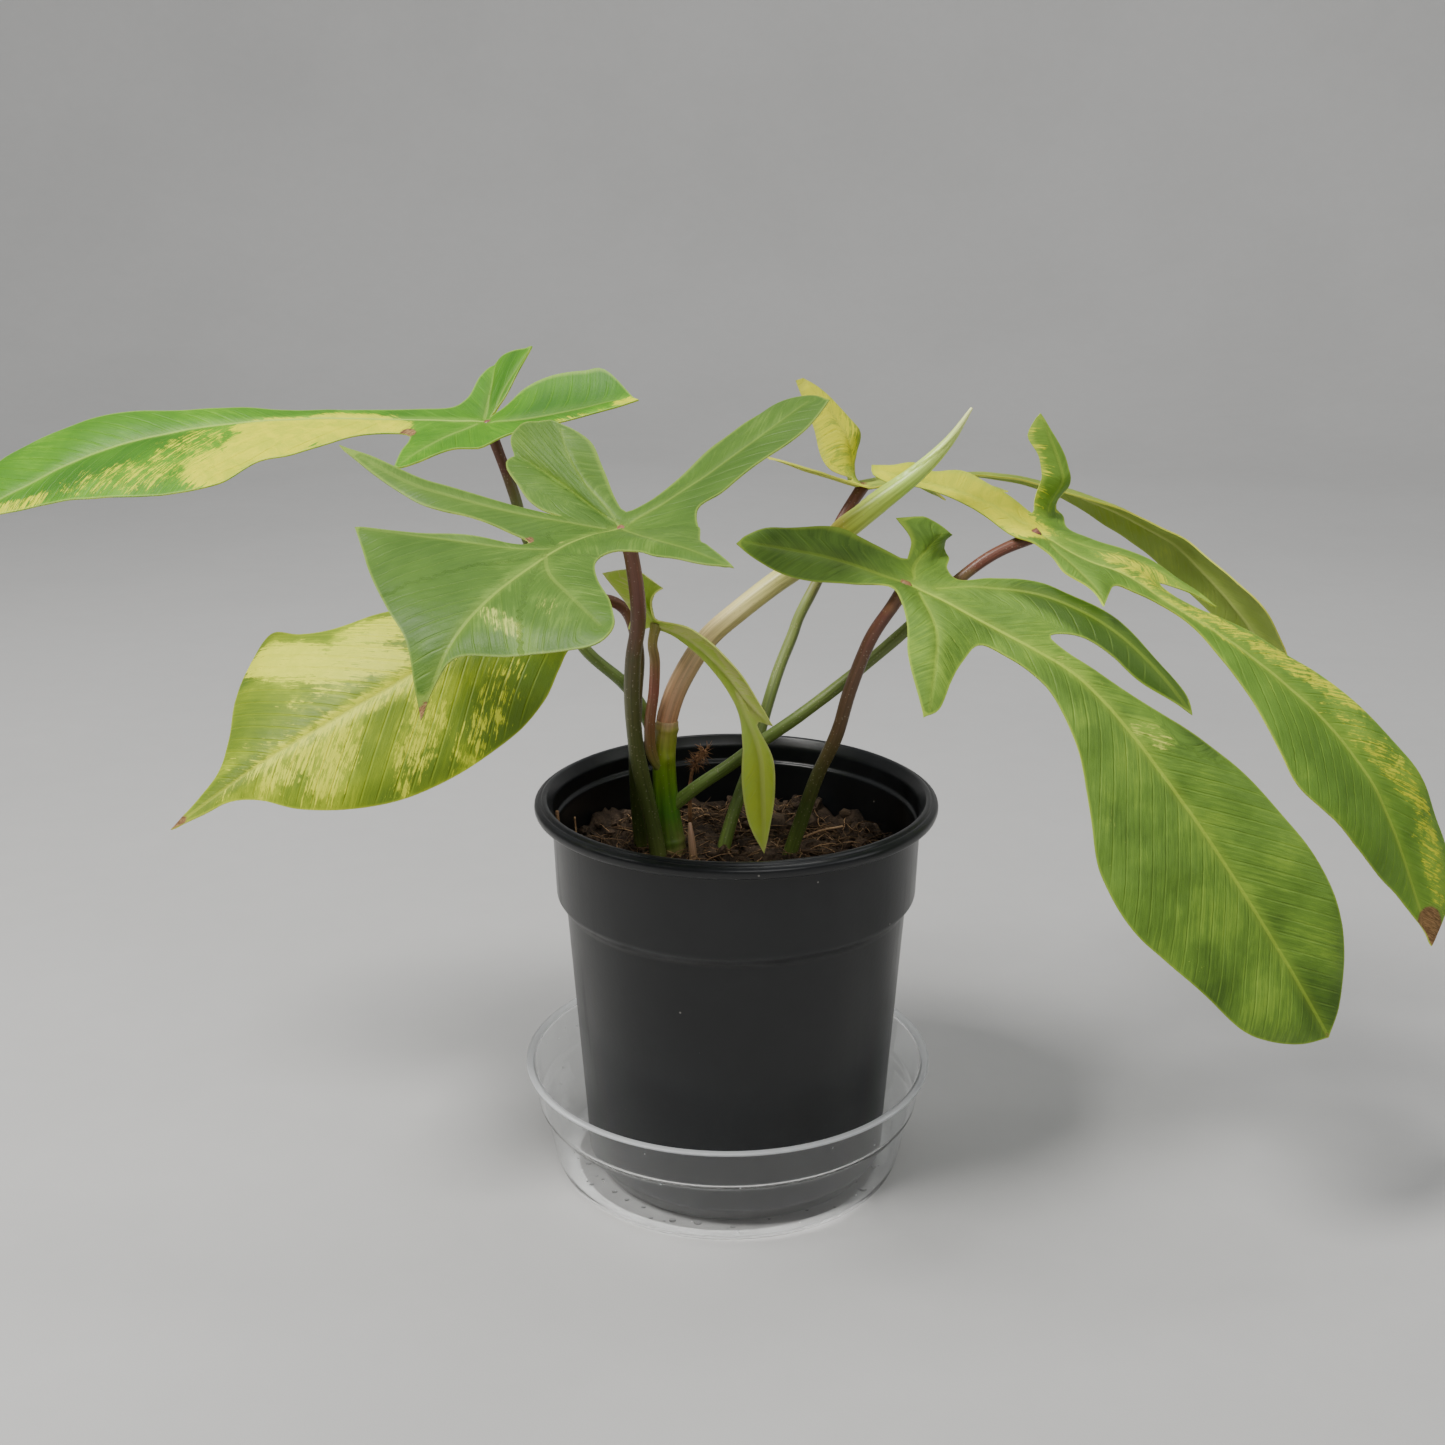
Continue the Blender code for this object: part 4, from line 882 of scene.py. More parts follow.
def sweep(name, points, radii, mats, sides=24, step=1.0, shape=None):
    """A closed round skin along a smooth path.

    shape(along, angle, length) gives what the radius is multiplied by, with along from 0 at the
    foot to 1 at the tip and length in millimetres from the foot.
    """
    rows = [(*point, radius) for point, radius in zip(points, radii)]
    path = spaced(smooth_path(rows), step)
    centre, radius = path[:, :3].copy(), path[:, 3]
    centre[:, 2] += MIX_TOP
    ahead = unit(np.gradient(centre, axis=0))
    length = np.concatenate(([0], np.cumsum(np.linalg.norm(np.diff(centre, axis=0), axis=1))))
    along = length / length[-1]
    side = unit(np.cross(ahead[0], (0.3, 1, 0.2)))
    angles = np.linspace(0, 2 * math.pi, sides, endpoint=False)
    verts, wrap = [], []
    for index, (middle, way, r) in enumerate(zip(centre, ahead, radius)):
        side = unit(side - way * side.dot(way))
        other = np.cross(way, side)
        factor = np.ones(sides)
        if shape is not None:
            factor = factor * shape(along[index], angles, length[index])
        ring = np.cos(angles)[:, None] * side + np.sin(angles)[:, None] * other
        verts.append(middle + ring * (r * factor)[:, None])
        wrap.append(np.column_stack((np.cos(angles) * 0.5, np.full(sides, length[index] / 10),
                                     np.sin(angles) * 0.5)))
    verts = np.vstack(verts)
    ends = np.array([centre[0], centre[-1] + ahead[-1] * radius[-1] * 0.35])
    verts = np.vstack((verts, ends))
    wrap = np.vstack(wrap + [[(0, 0, 0)], [(0, length[-1] / 10, 0)]])
    faces = closed_rings(len(path), sides, (len(verts) - 2, len(verts) - 1), flip=True)
    obj = mesh_object(name, verts, faces, mats)
    store(obj.data, "along", np.concatenate((np.repeat(along, sides), (0, 1))))
    store(obj.data, "wrap", wrap)
    return obj


def tuft(name, path, reach, count, mat):
    """Short fine hairs that stand out from the last stretch of a path."""
    line = spaced(smooth_path(path), 0.2)
    verts, faces = [], []
    for index in range(count):
        share = noise.cell_vector(Vector((index * 1.3, 8.1, 2.2)))
        turn = noise.cell_vector(Vector((index * 2.1, 4.7, 9.3))) - Vector((0.5, 0.5, 0.42))
        start = Vector(line[int((0.35 + 0.65 * share.x) * (len(line) - 1))])
        ahead = turn.normalized() * reach * (0.35 + 0.65 * share.y)
        side = ahead.cross(Vector((0.3, 0.2, 1))).normalized() * (0.10 + 0.12 * share.z)
        bend = side.cross(ahead).normalized() * reach * 0.22 * (share.z - 0.3)
        first = len(verts)
        for along, thick in ((0, 1.0), (0.5, 0.8), (1, 0.25)):
            middle = start + ahead * along + bend * math.sin(math.pi * along)
            across = side.cross(ahead).normalized() * side.length
            for way in (side, across * 0.9 - side * 0.5, -across * 0.9 - side * 0.5):
                verts.append(middle + way * thick + Vector((0, 0, MIX_TOP)))
        faces += bands(3, 3, first, flip=True)
        faces += [(first + 2, first + 1, first), (first + 6, first + 7, first + 8)]
    return finish_piece(mesh_object(name, verts, faces, [mat]), "dry_fibre")


def build_petiole(name, radius, route, mat):
    """A petiole: thick at its foot, faintly ridged, and swollen where it meets the blade."""
    leaf = LEAVES[name]
    joint = np.array(leaf["spine"][0][:3], float)
    points = [*route, tuple(joint)]
    radii = list(np.linspace(radius * 1.04, radius * 0.84, len(points) - 1)) + [radius * 0.92]
    seed = int(name[-1])

    def shape(along, angles, length):
        ridges = 0.025 * np.sin(5 * angles + 0.02 * length) + 0.02 * np.sin(2 * angles + seed)
        lumps = 0.05 * noise.noise(Vector((length / 11, seed, 0.3)))
        flare = 0.10 * math.exp(-((1 - along) / 0.05) ** 2)
        return 1 + ridges + lumps + flare

    obj = sweep(name + "_stalk", points, radii, [mat], sides=20, step=1.1, shape=shape)
    slot = "petiole_maroon" if seed in (1, 2, 3, 5, 6) else "petiole_olive"
    return finish_piece(obj, slot, name + "_petiole")


# ---------------------------------------------------------------- pot, saucer and mix

def lathe(name, profile, steps, mats, shift=(0.0, 0.0)):
    """A closed solid of revolution; the profile runs from the axis round to the axis."""
    angles = np.linspace(0, 2 * math.pi, steps, endpoint=False)
    first, last = profile[0], profile[-1]
    rings = profile[1:-1]
    verts = []
    for r, z in rings:
        verts.append(np.column_stack((r * np.cos(angles) + shift[0],
                                      r * np.sin(angles) + shift[1], np.full(steps, z))))
    verts = np.vstack(verts + [[(*shift, first[1])], [(*shift, last[1])]])
    faces = closed_rings(len(rings), steps, (len(verts) - 2, len(verts) - 1))
    obj = mesh_object(name, verts, faces, mats)
    obj.data.set_sharp_from_angle(angle=math.radians(50))
    return obj


def rounded(profile, radius, steps=4):
    """The profile with each inner corner rounded by up to the radius."""
    points = [np.array(point, float) for point in profile]
    result = [points[0]]
    for before, corner, after in zip(points, points[1:], points[2:]):
        back, ahead = before - corner, after - corner
        reach = min(radius, np.linalg.norm(back) * 0.45, np.linalg.norm(ahead) * 0.45)
        start = corner + unit(back) * reach
        end = corner + unit(ahead) * reach
        for t in np.linspace(0, 1, steps + 1):
            result.append((1 - t) ** 2 * start + 2 * t * (1 - t) * corner + t ** 2 * end)
    result.append(points[-1])
    return [tuple(point) for point in result]


def pot_wall(height):
    """Outer radius of the pot's wall at a height over its bottom, under the lip."""
    step_at = POT_HEIGHT - POT_COLLAR_DEPTH
    collar_top = POT_RIM_RADIUS - POT_LIP_WIDTH
    collar_foot = collar_top - 1.0
    if height > step_at:
        return collar_foot + (collar_top - collar_foot) * (height - step_at) / POT_COLLAR_DEPTH
    under_step = collar_foot - POT_STEP
    turned_in = POT_CORNER_WIDTH * max(0.0, 1 - height / POT_CORNER_HEIGHT)
    return POT_BASE_RADIUS + (under_step - POT_BASE_RADIUS) * height / step_at - turned_in


def pot_profile():
    """The pot's section, from the axis inside, up the wall, over the lip and back under."""
    step_at = POT_HEIGHT - POT_COLLAR_DEPTH
    lip_foot = POT_HEIGHT - POT_LIP_HEIGHT
    rim = POT_RIM_RADIUS
    ring = POT_HEIGHT - POT_LEDGE_DEPTH
    base_top = POT_FOOT_HEIGHT + POT_WALL
    foot_inner = pot_wall(0) - POT_FOOT_WIDTH

    def inner(height):
        return (pot_wall(height) - POT_WALL, height)

    wall = [(0, base_top), inner(base_top), inner(POT_CORNER_HEIGHT), inner(step_at - 2),
            inner(step_at + 2), inner(ring - 0.9), (inner(ring)[0] + 1.1, ring),
            (pot_wall(lip_foot) - 0.3, lip_foot + 1.2), (rim - 4.0, POT_HEIGHT - 0.2)]
    lip = [(rim - 3.4, POT_HEIGHT), (rim - 2.6, POT_HEIGHT - 0.1), (rim - 2.1, POT_HEIGHT - 0.9),
           (rim - 1.5, POT_HEIGHT - 0.8), (rim - 0.2, POT_HEIGHT - 1.6), (rim, POT_HEIGHT - 3.2),
           (rim - 0.6, POT_HEIGHT - 4.6), (rim - 2.4, POT_HEIGHT - 5.1),
           (pot_wall(lip_foot) + 0.9, lip_foot - 0.4), (pot_wall(lip_foot) + 0.1, lip_foot - 2.0)]
    outside = [(pot_wall(step_at + 1.6), step_at + 1.6), (pot_wall(step_at - 2), step_at - 2),
               (pot_wall(POT_CORNER_HEIGHT), POT_CORNER_HEIGHT), (pot_wall(1.0), 1.0),
               (pot_wall(0) - 0.5, 0), (foot_inner, 0), (foot_inner - 1, POT_FOOT_HEIGHT),
               (0, POT_FOOT_HEIGHT)]
    section = rounded(wall + lip + outside, 0.9)
    return [(r, z + POT_LOW.z) for r, z in section]


def pot_material(groups, colour):
    """Black plastic with a film of dust, a few specks and fine scratches."""
    mat, t, shader = new_material("black_nursery_plastic", Specular_IOR_Level=0.40)
    place = t.place()
    mottle = t.add("ShaderNodeGroup", {"Color": tuple(colour), "Vector": place, "Scale": 25.0,
                                       "Dark": tuple(c * 0.6 for c in colour), "Amount": 0.6},
                   node_tree=groups["mottle"])
    dust = t.noise(place, 38.0, 5.0, 0.65)
    height = t.add("ShaderNodeSeparateXYZ", {"Vector": place}).outputs["Z"]
    low = t.span(height, 0.0, 0.05, 1.0, 0.0)
    rim = t.span(height, 0.118, 0.130)
    film = t.math("ADD", 0.015, t.math("MULTIPLY", rim, 0.05))
    film = t.math("MULTIPLY", t.span(dust, 0.45, 0.75), film)
    film = t.math("ADD", film, t.math("MULTIPLY", low, 0.03))
    colour_out = t.mix(film, mottle.outputs["Color"], (0.14, 0.15, 0.155))
    specks = t.add("ShaderNodeGroup", {"Vector": place, "Scale": 170.0, "Size": 0.07,
                                       "Share": 0.10}, node_tree=groups["specks"])
    colour_out = t.mix(t.math("MULTIPLY", specks.outputs["Mask"], 0.5), colour_out,
                       (0.35, 0.33, 0.30))
    scratch = t.noise(t.mapped(place, (260.0, 260.0, 14.0)), 1.0, 2.0, 0.6, 0.4)
    t.put(shader.inputs["Base Color"], colour_out)
    rough = t.math("ADD", 0.24, t.math("MULTIPLY", dust, 0.12))
    rough = t.math("ADD", rough, t.math("MULTIPLY", t.span(scratch, 0.55, 0.8), 0.08))
    t.put(shader.inputs["Roughness"], rough)
    grain = t.math("ADD", t.noise(place, 900.0, 2.0), t.math("MULTIPLY", scratch, 0.4))
    t.put(shader.inputs["Normal"], t.bump(grain, 0.05, 0.0004))
    return mat


def clear_plastic(groups, tint):
    """Thin clear plastic with a cloudy lip: lamps shine through it, so its shadow is pale."""
    mat, t, shader = new_material("clear_saucer_plastic", Transmission_Weight=1.0, IOR=1.46)
    place = t.place()
    haze = t.noise(place, 60.0, 4.0, 0.6)
    wear = t.add("ShaderNodeGroup", {"Vector": place, "Scale": 210.0, "Size": 0.12, "Share": 0.25},
                 node_tree=groups["specks"])
    t.put(shader.inputs["Base Color"], t.mix(t.span(haze, 0.4, 0.8), tuple(tint),
                                             tuple(c * 0.93 for c in tint)))
    rough = t.math("ADD", 0.012, t.math("MULTIPLY", t.span(haze, 0.5, 0.8), 0.02))
    rough = t.math("ADD", rough, t.math("MULTIPLY", wear.outputs["Mask"], 0.3))
    height = t.add("ShaderNodeSeparateXYZ", {"Vector": place}).outputs["Z"]
    lip = t.span(height, (SAUCER_HIGH.z - 1.5) * MM, (SAUCER_HIGH.z - 0.4) * MM)
    rough = t.math("ADD", rough, t.math("MULTIPLY", lip, 0.32))
    t.put(shader.inputs["Roughness"], rough)
    t.put(shader.inputs["Normal"], t.bump(t.noise(place, 45.0, 2.0), 0.06, 0.001))
    clear = t.add("ShaderNodeBsdfTransparent", {"Color": (0.9, 0.9, 0.9)})
    lamp = t.add("ShaderNodeLightPath").outputs["Is Shadow Ray"]
    blend = t.add("ShaderNodeMixShader", {"Fac": lamp})
    milky = t.add("ShaderNodeBsdfDiffuse", {"Color": (0.86, 0.88, 0.90)})
    cloudy = t.add("ShaderNodeMixShader", {"Fac": t.math("MULTIPLY", lip, 0.38)})
    t.put(cloudy.inputs[1], shader.outputs[0])
    t.put(cloudy.inputs[2], milky.outputs[0])
    t.put(blend.inputs[1], cloudy.outputs[0])
    t.put(blend.inputs[2], clear.outputs[0])
    t.put(mat.node_tree.nodes["Material Output"].inputs["Surface"], blend.outputs[0])
    return mat


def saucer_profile():
    """The saucer's section: thin wall with a ledge, a round corner and a turned-out lip."""
    floor, rim, top = SAUCER_FLOOR_RADIUS, SAUCER_RIM_RADIUS, SAUCER_HIGH.z
    wall, ledge = SAUCER_WALL, SAUCER_LEDGE_HEIGHT
    outer = [(rim, top), (rim - 0.1, top - 0.9), (rim - 2.0, top - 1.3),
             (floor + 10.0, ledge + 1.4), (floor + 8.1, ledge - 0.4),
             (floor + 4.9, 4.6), (floor + 3.2, 0.6), (floor - 1, 0), (0, 0)]
    inner = [(0, wall), (floor - 1.4, wall), (floor + 2.4, 1.3), (floor + 4.1, 4.8),
             (floor + 7.3, ledge + 0.2), (floor + 9.2, ledge + 2.0), (rim - 2.8, top - 0.3),
             (rim - 1.6, top)]
    return rounded(inner + outer, 2.2)


def water_beads(mat, count):
    """Flat drops left on the saucer's floor and corner after watering."""
    shape = bmesh.new()
    for index in range(count):
        share = noise.cell_vector(Vector((index * 1.7, 3.3, 0)))
        angle = 2 * math.pi * index / count + share.x
        size = 0.45 + 1.1 * share.y ** 2
        floor = SAUCER_FLOOR_RADIUS - 1.2 - 6.5 * share.z
        middle = Vector((SAUCER_MIDDLE + floor * math.cos(angle), floor * math.sin(angle), 0.78))
        made = bmesh.ops.create_icosphere(shape, subdivisions=2, radius=size * MM)
        for vert in made["verts"]:
            vert.co.z *= 0.42
            if vert.co.z < 0:
                vert.co.z *= 0.1
            vert.co += middle * MM
    beads = linked("water_beads", shape)
    beads.data.materials.append(mat)
    beads.data.shade_smooth()
    return finish_piece(beads, "clear_plastic")


def mix_material(name, colour, dark, groups, roughness=0.95):
    """Dull mottled fibre, crumb or soil."""
    mat, t, shader = new_material(name, roughness, Specular_IOR_Level=0.25)
    place = t.place()
    mottle = t.add("ShaderNodeGroup", {"Color": tuple(colour), "Dark": tuple(dark),
                                       "Vector": place, "Scale": 170.0, "Amount": 1.0},
                   node_tree=groups["mottle"])
    t.put(shader.inputs["Base Color"], mottle.outputs["Color"])
    t.put(shader.inputs["Normal"], t.bump(t.noise(place, 700.0, 4.0, 0.7), 0.8, 0.001))
    return mat


def mix_height(x, y):
    """Height of the mix's lumpy surface over its level."""
    r = math.hypot(x, y) / MIX_RADIUS
    lumps = 3.4 * noise.noise(Vector((x / 17, y / 17, 3.0)))
    lumps += 3.0 * noise.noise(Vector((x / 7.5, y / 7.5, 7.0)))
    lumps += 1.9 * noise.noise(Vector((x / 3.0, y / 3.0, 11.0)))
    bank = 1.5 + 2.6 * ease(-x / 50) + 1.2 * ease(y / 50)
    return MIX_CROWN * (1 - r * r) + lumps + bank * ease((r - 0.74) / 0.26)


def mix_disc(name, radius):
    """The part of the mix's surface that lies within a radius, for scattering on."""
    rings, steps = 14, 48
    verts = [(0, 0, MIX_TOP + mix_height(0, 0))]
    for ring in range(1, rings + 1):
        for k in range(steps):
            angle = 2 * math.pi * k / steps
            x, y = (radius * ring / rings * f(angle) for f in (math.cos, math.sin))
            verts.append((x, y, MIX_TOP + mix_height(x, y)))
    faces = [(0, 1 + k, 1 + (k + 1) % steps) for k in range(steps)]
    return mesh_object(name, verts, faces + bands(rings, steps, 1), [])


def build_mix(look, groups):
    """The plug of mix: a lumpy top on a smooth side that follows the pot's inside."""
    soil = mix_material("coir_mix_soil", look.soil, [c * 0.35 for c in look.soil], groups)
    rings, steps = 62, 200
    side_heights = [MIX_TOP - 2, MIX_TOP - 8, POT_LOW.z + POT_HEIGHT - POT_COLLAR_DEPTH - 2,
                    POT_LOW.z + 4.5]
    verts = []
    top_radius = pot_wall(MIX_TOP - POT_LOW.z) - POT_WALL - MIX_GAP
    for ring in range(1, rings + 1):
        r = top_radius * ring / rings
        for k in range(steps):
            angle = 2 * math.pi * (k + 0.5 * (ring % 2)) / steps
            x, y = r * math.cos(angle), r * math.sin(angle)
            verts.append((x, y, MIX_TOP + mix_height(x, y)))
    for z in side_heights:
        r = pot_wall(z - POT_LOW.z) - POT_WALL - MIX_GAP
        for k in range(steps):
            angle = 2 * math.pi * k / steps
            verts.append((r * math.cos(angle), r * math.sin(angle), z))
    verts += [(0, 0, MIX_TOP + mix_height(0, 0)), (0, 0, side_heights[-1])]
    faces = closed_rings(rings + len(side_heights), steps, (len(verts) - 2, len(verts) - 1))
    mix = mesh_object("potting_mix_lumps", verts, faces, [soil])
    return finish_piece(mix, "coir_mix", "potting_mix")


def curved_fibre(name, length, width, curl, lift):
    """One thin curved strand, drawn along X from its middle, with three sides."""
    steps = 7
    verts = []
    for index in range(steps + 1):
        s = index / steps - 0.5
        x = length * s
        middle = Vector((x, curl * (4 * s * s - 0.3) + 0.25 * curl * math.sin(9 * s),
                         lift * (0.6 - 2.4 * s * s)))
        r = width / 2 * (1 - 0.75 * abs(2 * s) ** 2.5)
        for k in range(3):
            angle = 2 * math.pi * k / 3 + 2 * s
            verts.append(middle + Vector((0, r * math.cos(angle), r * math.sin(angle))))
    faces = bands(steps + 1, 3, flip=True)
    faces += [(2, 1, 0), tuple(steps * 3 + k for k in range(3))]
    return mesh_object(name, verts, faces, [])


def chip(name, size, seed):
    """One rough crumb of bark or coir."""
    shape = bmesh.new()
    bmesh.ops.create_icosphere(shape, subdivisions=2, radius=size * MM)
    for vert in shape.verts:
        p = vert.co / (size * MM)
        push = 1 + 0.55 * noise.noise(p * 1.6 + Vector((seed, 0, 0))) + 0.2 * noise.noise(p * 4)
        vert.co = Vector((p.x * 1.25, p.y * 0.9, p.z * 0.62)) * push * size * MM
    return linked(name, shape)


def scatter_tree(name, source, mat):
    """Geometry nodes that scatter copies of a source over the upward part of a surface."""
    group = bpy.data.node_groups.new(name, "GeometryNodeTree")
    face = group.interface
    face.new_socket("Geometry", in_out="OUTPUT", socket_type="NodeSocketGeometry")
    face.new_socket("Geometry", in_out="INPUT", socket_type="NodeSocketGeometry")
    sockets = {}
    for label, kind, value in (("Density", "Float", 10000.0), ("Seed", "Int", 1),
                               ("Smallest", "Float", 0.6), ("Largest", "Float", 1.3),
                               ("Tilt", "Float", 0.4), ("Lift", "Float", 0.0005)):
        socket = face.new_socket(label, in_out="INPUT", socket_type="NodeSocket" + kind)
        socket.default_value = value
        sockets[label] = socket.identifier
    t = Tree(group)
    take = t.add("NodeGroupInput").outputs
    normal = t.add("GeometryNodeInputNormal").outputs[0]
    up = t.add("ShaderNodeSeparateXYZ", {"Vector": normal}).outputs["Z"]
    upward = t.add("FunctionNodeCompare", data_type="FLOAT", operation="GREATER_THAN")
    t.put(upward.inputs["A"], up)
    t.put(upward.inputs["B"], 0.35)
    spread = t.add("GeometryNodeDistributePointsOnFaces")
    t.put(spread.inputs["Mesh"], take["Geometry"])
    t.put(spread.inputs["Selection"], upward.outputs["Result"])
    t.put(spread.inputs["Density"], take["Density"])
    t.put(spread.inputs["Seed"], take["Seed"])

    def random_number(low, high, seed):
        node = t.add("FunctionNodeRandomValue", data_type="FLOAT")
        floats = [socket for socket in node.inputs if socket.type == "VALUE" and socket.enabled]
        t.put(floats[0], low)
        t.put(floats[1], high)
        t.put(node.inputs["Seed"], seed)
        return next(socket for socket in node.outputs if socket.enabled)

    minus = t.math("MULTIPLY", take["Tilt"], -1.0)
    turn = t.add("ShaderNodeCombineXYZ", {"X": random_number(minus, take["Tilt"], 3),
                                          "Y": random_number(minus, take["Tilt"], 4),
                                          "Z": random_number(0.0, 2 * math.pi, 5)})
    copies = t.add("GeometryNodeInstanceOnPoints")
    t.put(copies.inputs["Points"], spread.outputs["Points"])
    thing = t.add("GeometryNodeObjectInfo", {"Object": source})
    t.put(copies.inputs["Instance"], thing.outputs["Geometry"])
    t.put(copies.inputs["Rotation"], turn.outputs[0])
    t.put(copies.inputs["Scale"], random_number(take["Smallest"], take["Largest"], 6))
    raised = t.add("GeometryNodeTranslateInstances")
    t.put(raised.inputs["Instances"], copies.outputs["Instances"])
    offset = t.add("ShaderNodeCombineXYZ", {"Z": take["Lift"]})
    t.put(raised.inputs["Translation"], offset.outputs[0])
    t.put(raised.inputs["Local Space"], False)
    real = t.add("GeometryNodeRealizeInstances")
    t.put(real.inputs["Geometry"], raised.outputs["Instances"])
    painted = t.add("GeometryNodeSetMaterial", {"Material": mat})
    t.put(painted.inputs["Geometry"], real.outputs["Geometry"])
    give = t.add("NodeGroupOutput").inputs
    t.put(give["Geometry"], painted.outputs["Geometry"])
    return group, sockets


def scatter(name, radius, source, mat, density, seed, smallest, largest, tilt, lift):
    """A piece made of many small copies lying on the mix, within a radius of its middle."""
    group, sockets = scatter_tree(name, source, mat)
    piece = mix_disc(name, radius)
    modifier = piece.modifiers.new("Scatter", "NODES")
    modifier.node_group = group
    for label, value in (("Density", density), ("Seed", seed), ("Smallest", smallest),
                         ("Largest", largest), ("Tilt", tilt), ("Lift", lift)):
        modifier[sockets[label]] = value
    baked(piece)
    bpy.data.objects.remove(source)
    return finish_piece(piece, "coir_mix" if "crumb" in name else "dry_fibre")


# ---------------------------------------------------------------- settings

class PotLook(PropertyGroup):
    """Colours and fineness of the pot and the saucer."""

    plastic: FloatVectorProperty(name="Pot plastic", description="Colour of the nursery pot",
                                 subtype="COLOR", min=0, max=1, default=(0.0068, 0.0078, 0.0088))
    tint: FloatVectorProperty(name="Saucer tint", description="Tint of the clear saucer",
                              subtype="COLOR", min=0, max=1, default=(0.97, 0.98, 0.985))
    facets: IntProperty(name="Facets", description="Steps round the turned pieces",
                        min=48, max=256, default=180)


class LeafLook(PropertyGroup):
    """Fineness and thickness of the leaves."""

    spacing: FloatProperty(name="Point spacing", description="Distance between a leaf's points, mm",
                           min=1, max=6, default=1.5)
    thickness: FloatProperty(name="Thickness", description="Thickness of a blade, mm",
                             min=0.2, max=1.0, default=0.5)


class MixLook(PropertyGroup):
    """The potting mix and its fibres."""

    soil: FloatVectorProperty(name="Mix", description="Colour of the damp mix", subtype="COLOR",
                              min=0, max=1, default=(0.060, 0.040, 0.026))
    fibre: FloatVectorProperty(name="Fibre", description="Colour of the dry coir strands",
                               subtype="COLOR", min=0, max=1, default=(0.36, 0.22, 0.115))
    density: FloatProperty(name="Fibres", description="Strands on each square metre", min=0,
                           max=300000, default=95000)
    seed: IntProperty(name="Seed", description="Arrangement of strands and crumbs", min=0,
                      default=7)


class StageLook(PropertyGroup):
    """Floor and lamps."""

    floor: FloatVectorProperty(name="Floor", description="Colour of the plain floor",
                               subtype="COLOR", min=0, max=1, default=(0.465, 0.462, 0.455))
    key: FloatProperty(name="Key light", description="Power of the large soft lamp",
                       unit="POWER", min=0, default=21.5)
    lens: FloatProperty(name="Lens", description="Focal length on a 36 mm sensor", unit="CAMERA",
                        min=10, max=200, default=44.84)


LOOKS = {"philodendron_pot": PotLook, "philodendron_leaf": LeafLook,
         "philodendron_mix": MixLook, "philodendron_stage": StageLook}


def shared_groups():
    """The shader groups, made once."""
    makers = {"leaf": ("Leaf skin", leaf_group), "mottle": ("Mottle", mottle_group),
              "specks": ("Specks", speck_group)}
    return {key: bpy.data.node_groups.get(label) or make()
            for key, (label, make) in makers.items()}


# ---------------------------------------------------------------- operators

class PHILODENDRON_OT_stage(Operator):
    """Plain floor, soft lamps and the camera"""

    bl_idname = "philodendron.stage"
    bl_label = "Stage"

    def execute(self, context):
        look = context.scene.philodendron_stage
        build_floor(look.floor)
        build_lamps(look.key)
        camera = bpy.data.cameras.new("camera")
        camera.lens = look.lens
        camera.clip_start = 0.01
        holder = bpy.data.objects.new("camera", camera)
        holder.location = CAMERA_PLACE
        holder.rotation_euler = (math.radians(90 - CAMERA_PITCH), 0, 0)
        context.scene.collection.objects.link(holder)
        context.scene.camera = holder
        return {"FINISHED"}


def build_floor(colour):
    """A wide floor that rises far away on every side, so that no horizon shows."""
    mat, t, shader = new_material("plain_floor", 0.85, Specular_IOR_Level=0.2)
    place = t.place()
    tone = t.span(t.noise(place, 2.2, 4.0, 0.6), 0.35, 0.7)
    fine = t.noise(place, 60.0, 3.0, 0.6)
    colour_out = t.mix(t.math("MULTIPLY", tone, 0.5), tuple(colour),
                       tuple(c * 0.88 for c in colour))
    colour_out = t.mix(t.math("MULTIPLY", fine, 0.10), colour_out, (0.2, 0.2, 0.2))
    t.put(shader.inputs["Base Color"], colour_out)
    t.put(shader.inputs["Normal"], t.bump(t.noise(place, 1500.0, 2.0), 0.10, 0.0005))
    rings = [(0, 0), (500, 0), (1100, 0), (1500, 0)]
    rings += [(1500 + 900 * math.sin(a), 900 - 900 * math.cos(a))
              for a in np.linspace(0.15, math.pi / 2, 9)] + [(2400, 1600)]
    steps = 64
    verts = [(0, 0, 0)]
    for r, z in rings[1:]:
        verts += [(r * math.cos(2 * math.pi * k / steps), r * math.sin(2 * math.pi * k / steps), z)
                  for k in range(steps)]
    faces = [(0, 1 + k, 1 + (k + 1) % steps) for k in range(steps)]
    faces += bands(len(rings) - 1, steps, 1)
    mesh_object("floor", verts, faces, [mat])


def build_lamps(power):
    """A large soft key from the upper left, a fill from the right and a little sky."""
    aim = Vector((0, 0, 0.12))
    for name, place, size, share, tint in (
            ("key", (-0.58, -0.34, 1.10), 0.40, 1.0, (1.0, 0.985, 0.955)),
            ("front", (0.35, -1.15, 0.95), 0.9, 0.24, (1.0, 0.99, 0.98)),
            ("fill", (1.15, -0.25, 0.85), 0.9, 0.13, (0.97, 0.985, 1.0)),
            ("backdrop", (0.2, 0.6, 1.9), 1.2, 0.98, (1.0, 0.995, 0.98))):
        lamp = bpy.data.lights.new(name, "AREA")
        lamp.shape = "DISK"
        lamp.size = size
        lamp.energy = power * share
        lamp.color = tint
        holder = bpy.data.objects.new(name, lamp)
        holder.location = place
        target = Vector((0, 2.2, 0.6)) if name == "backdrop" else aim
        holder.rotation_euler = (target - Vector(place)).to_track_quat("-Z", "Y").to_euler()
        bpy.context.scene.collection.objects.link(holder)
    world = bpy.data.worlds.new("sky")
    world.use_nodes = True
    sky = world.node_tree.nodes["Background"]
    sky.inputs["Color"].default_value = (0.93, 0.96, 1.0, 1)
    sky.inputs["Strength"].default_value = SKY_STRENGTH
    bpy.context.scene.world = world


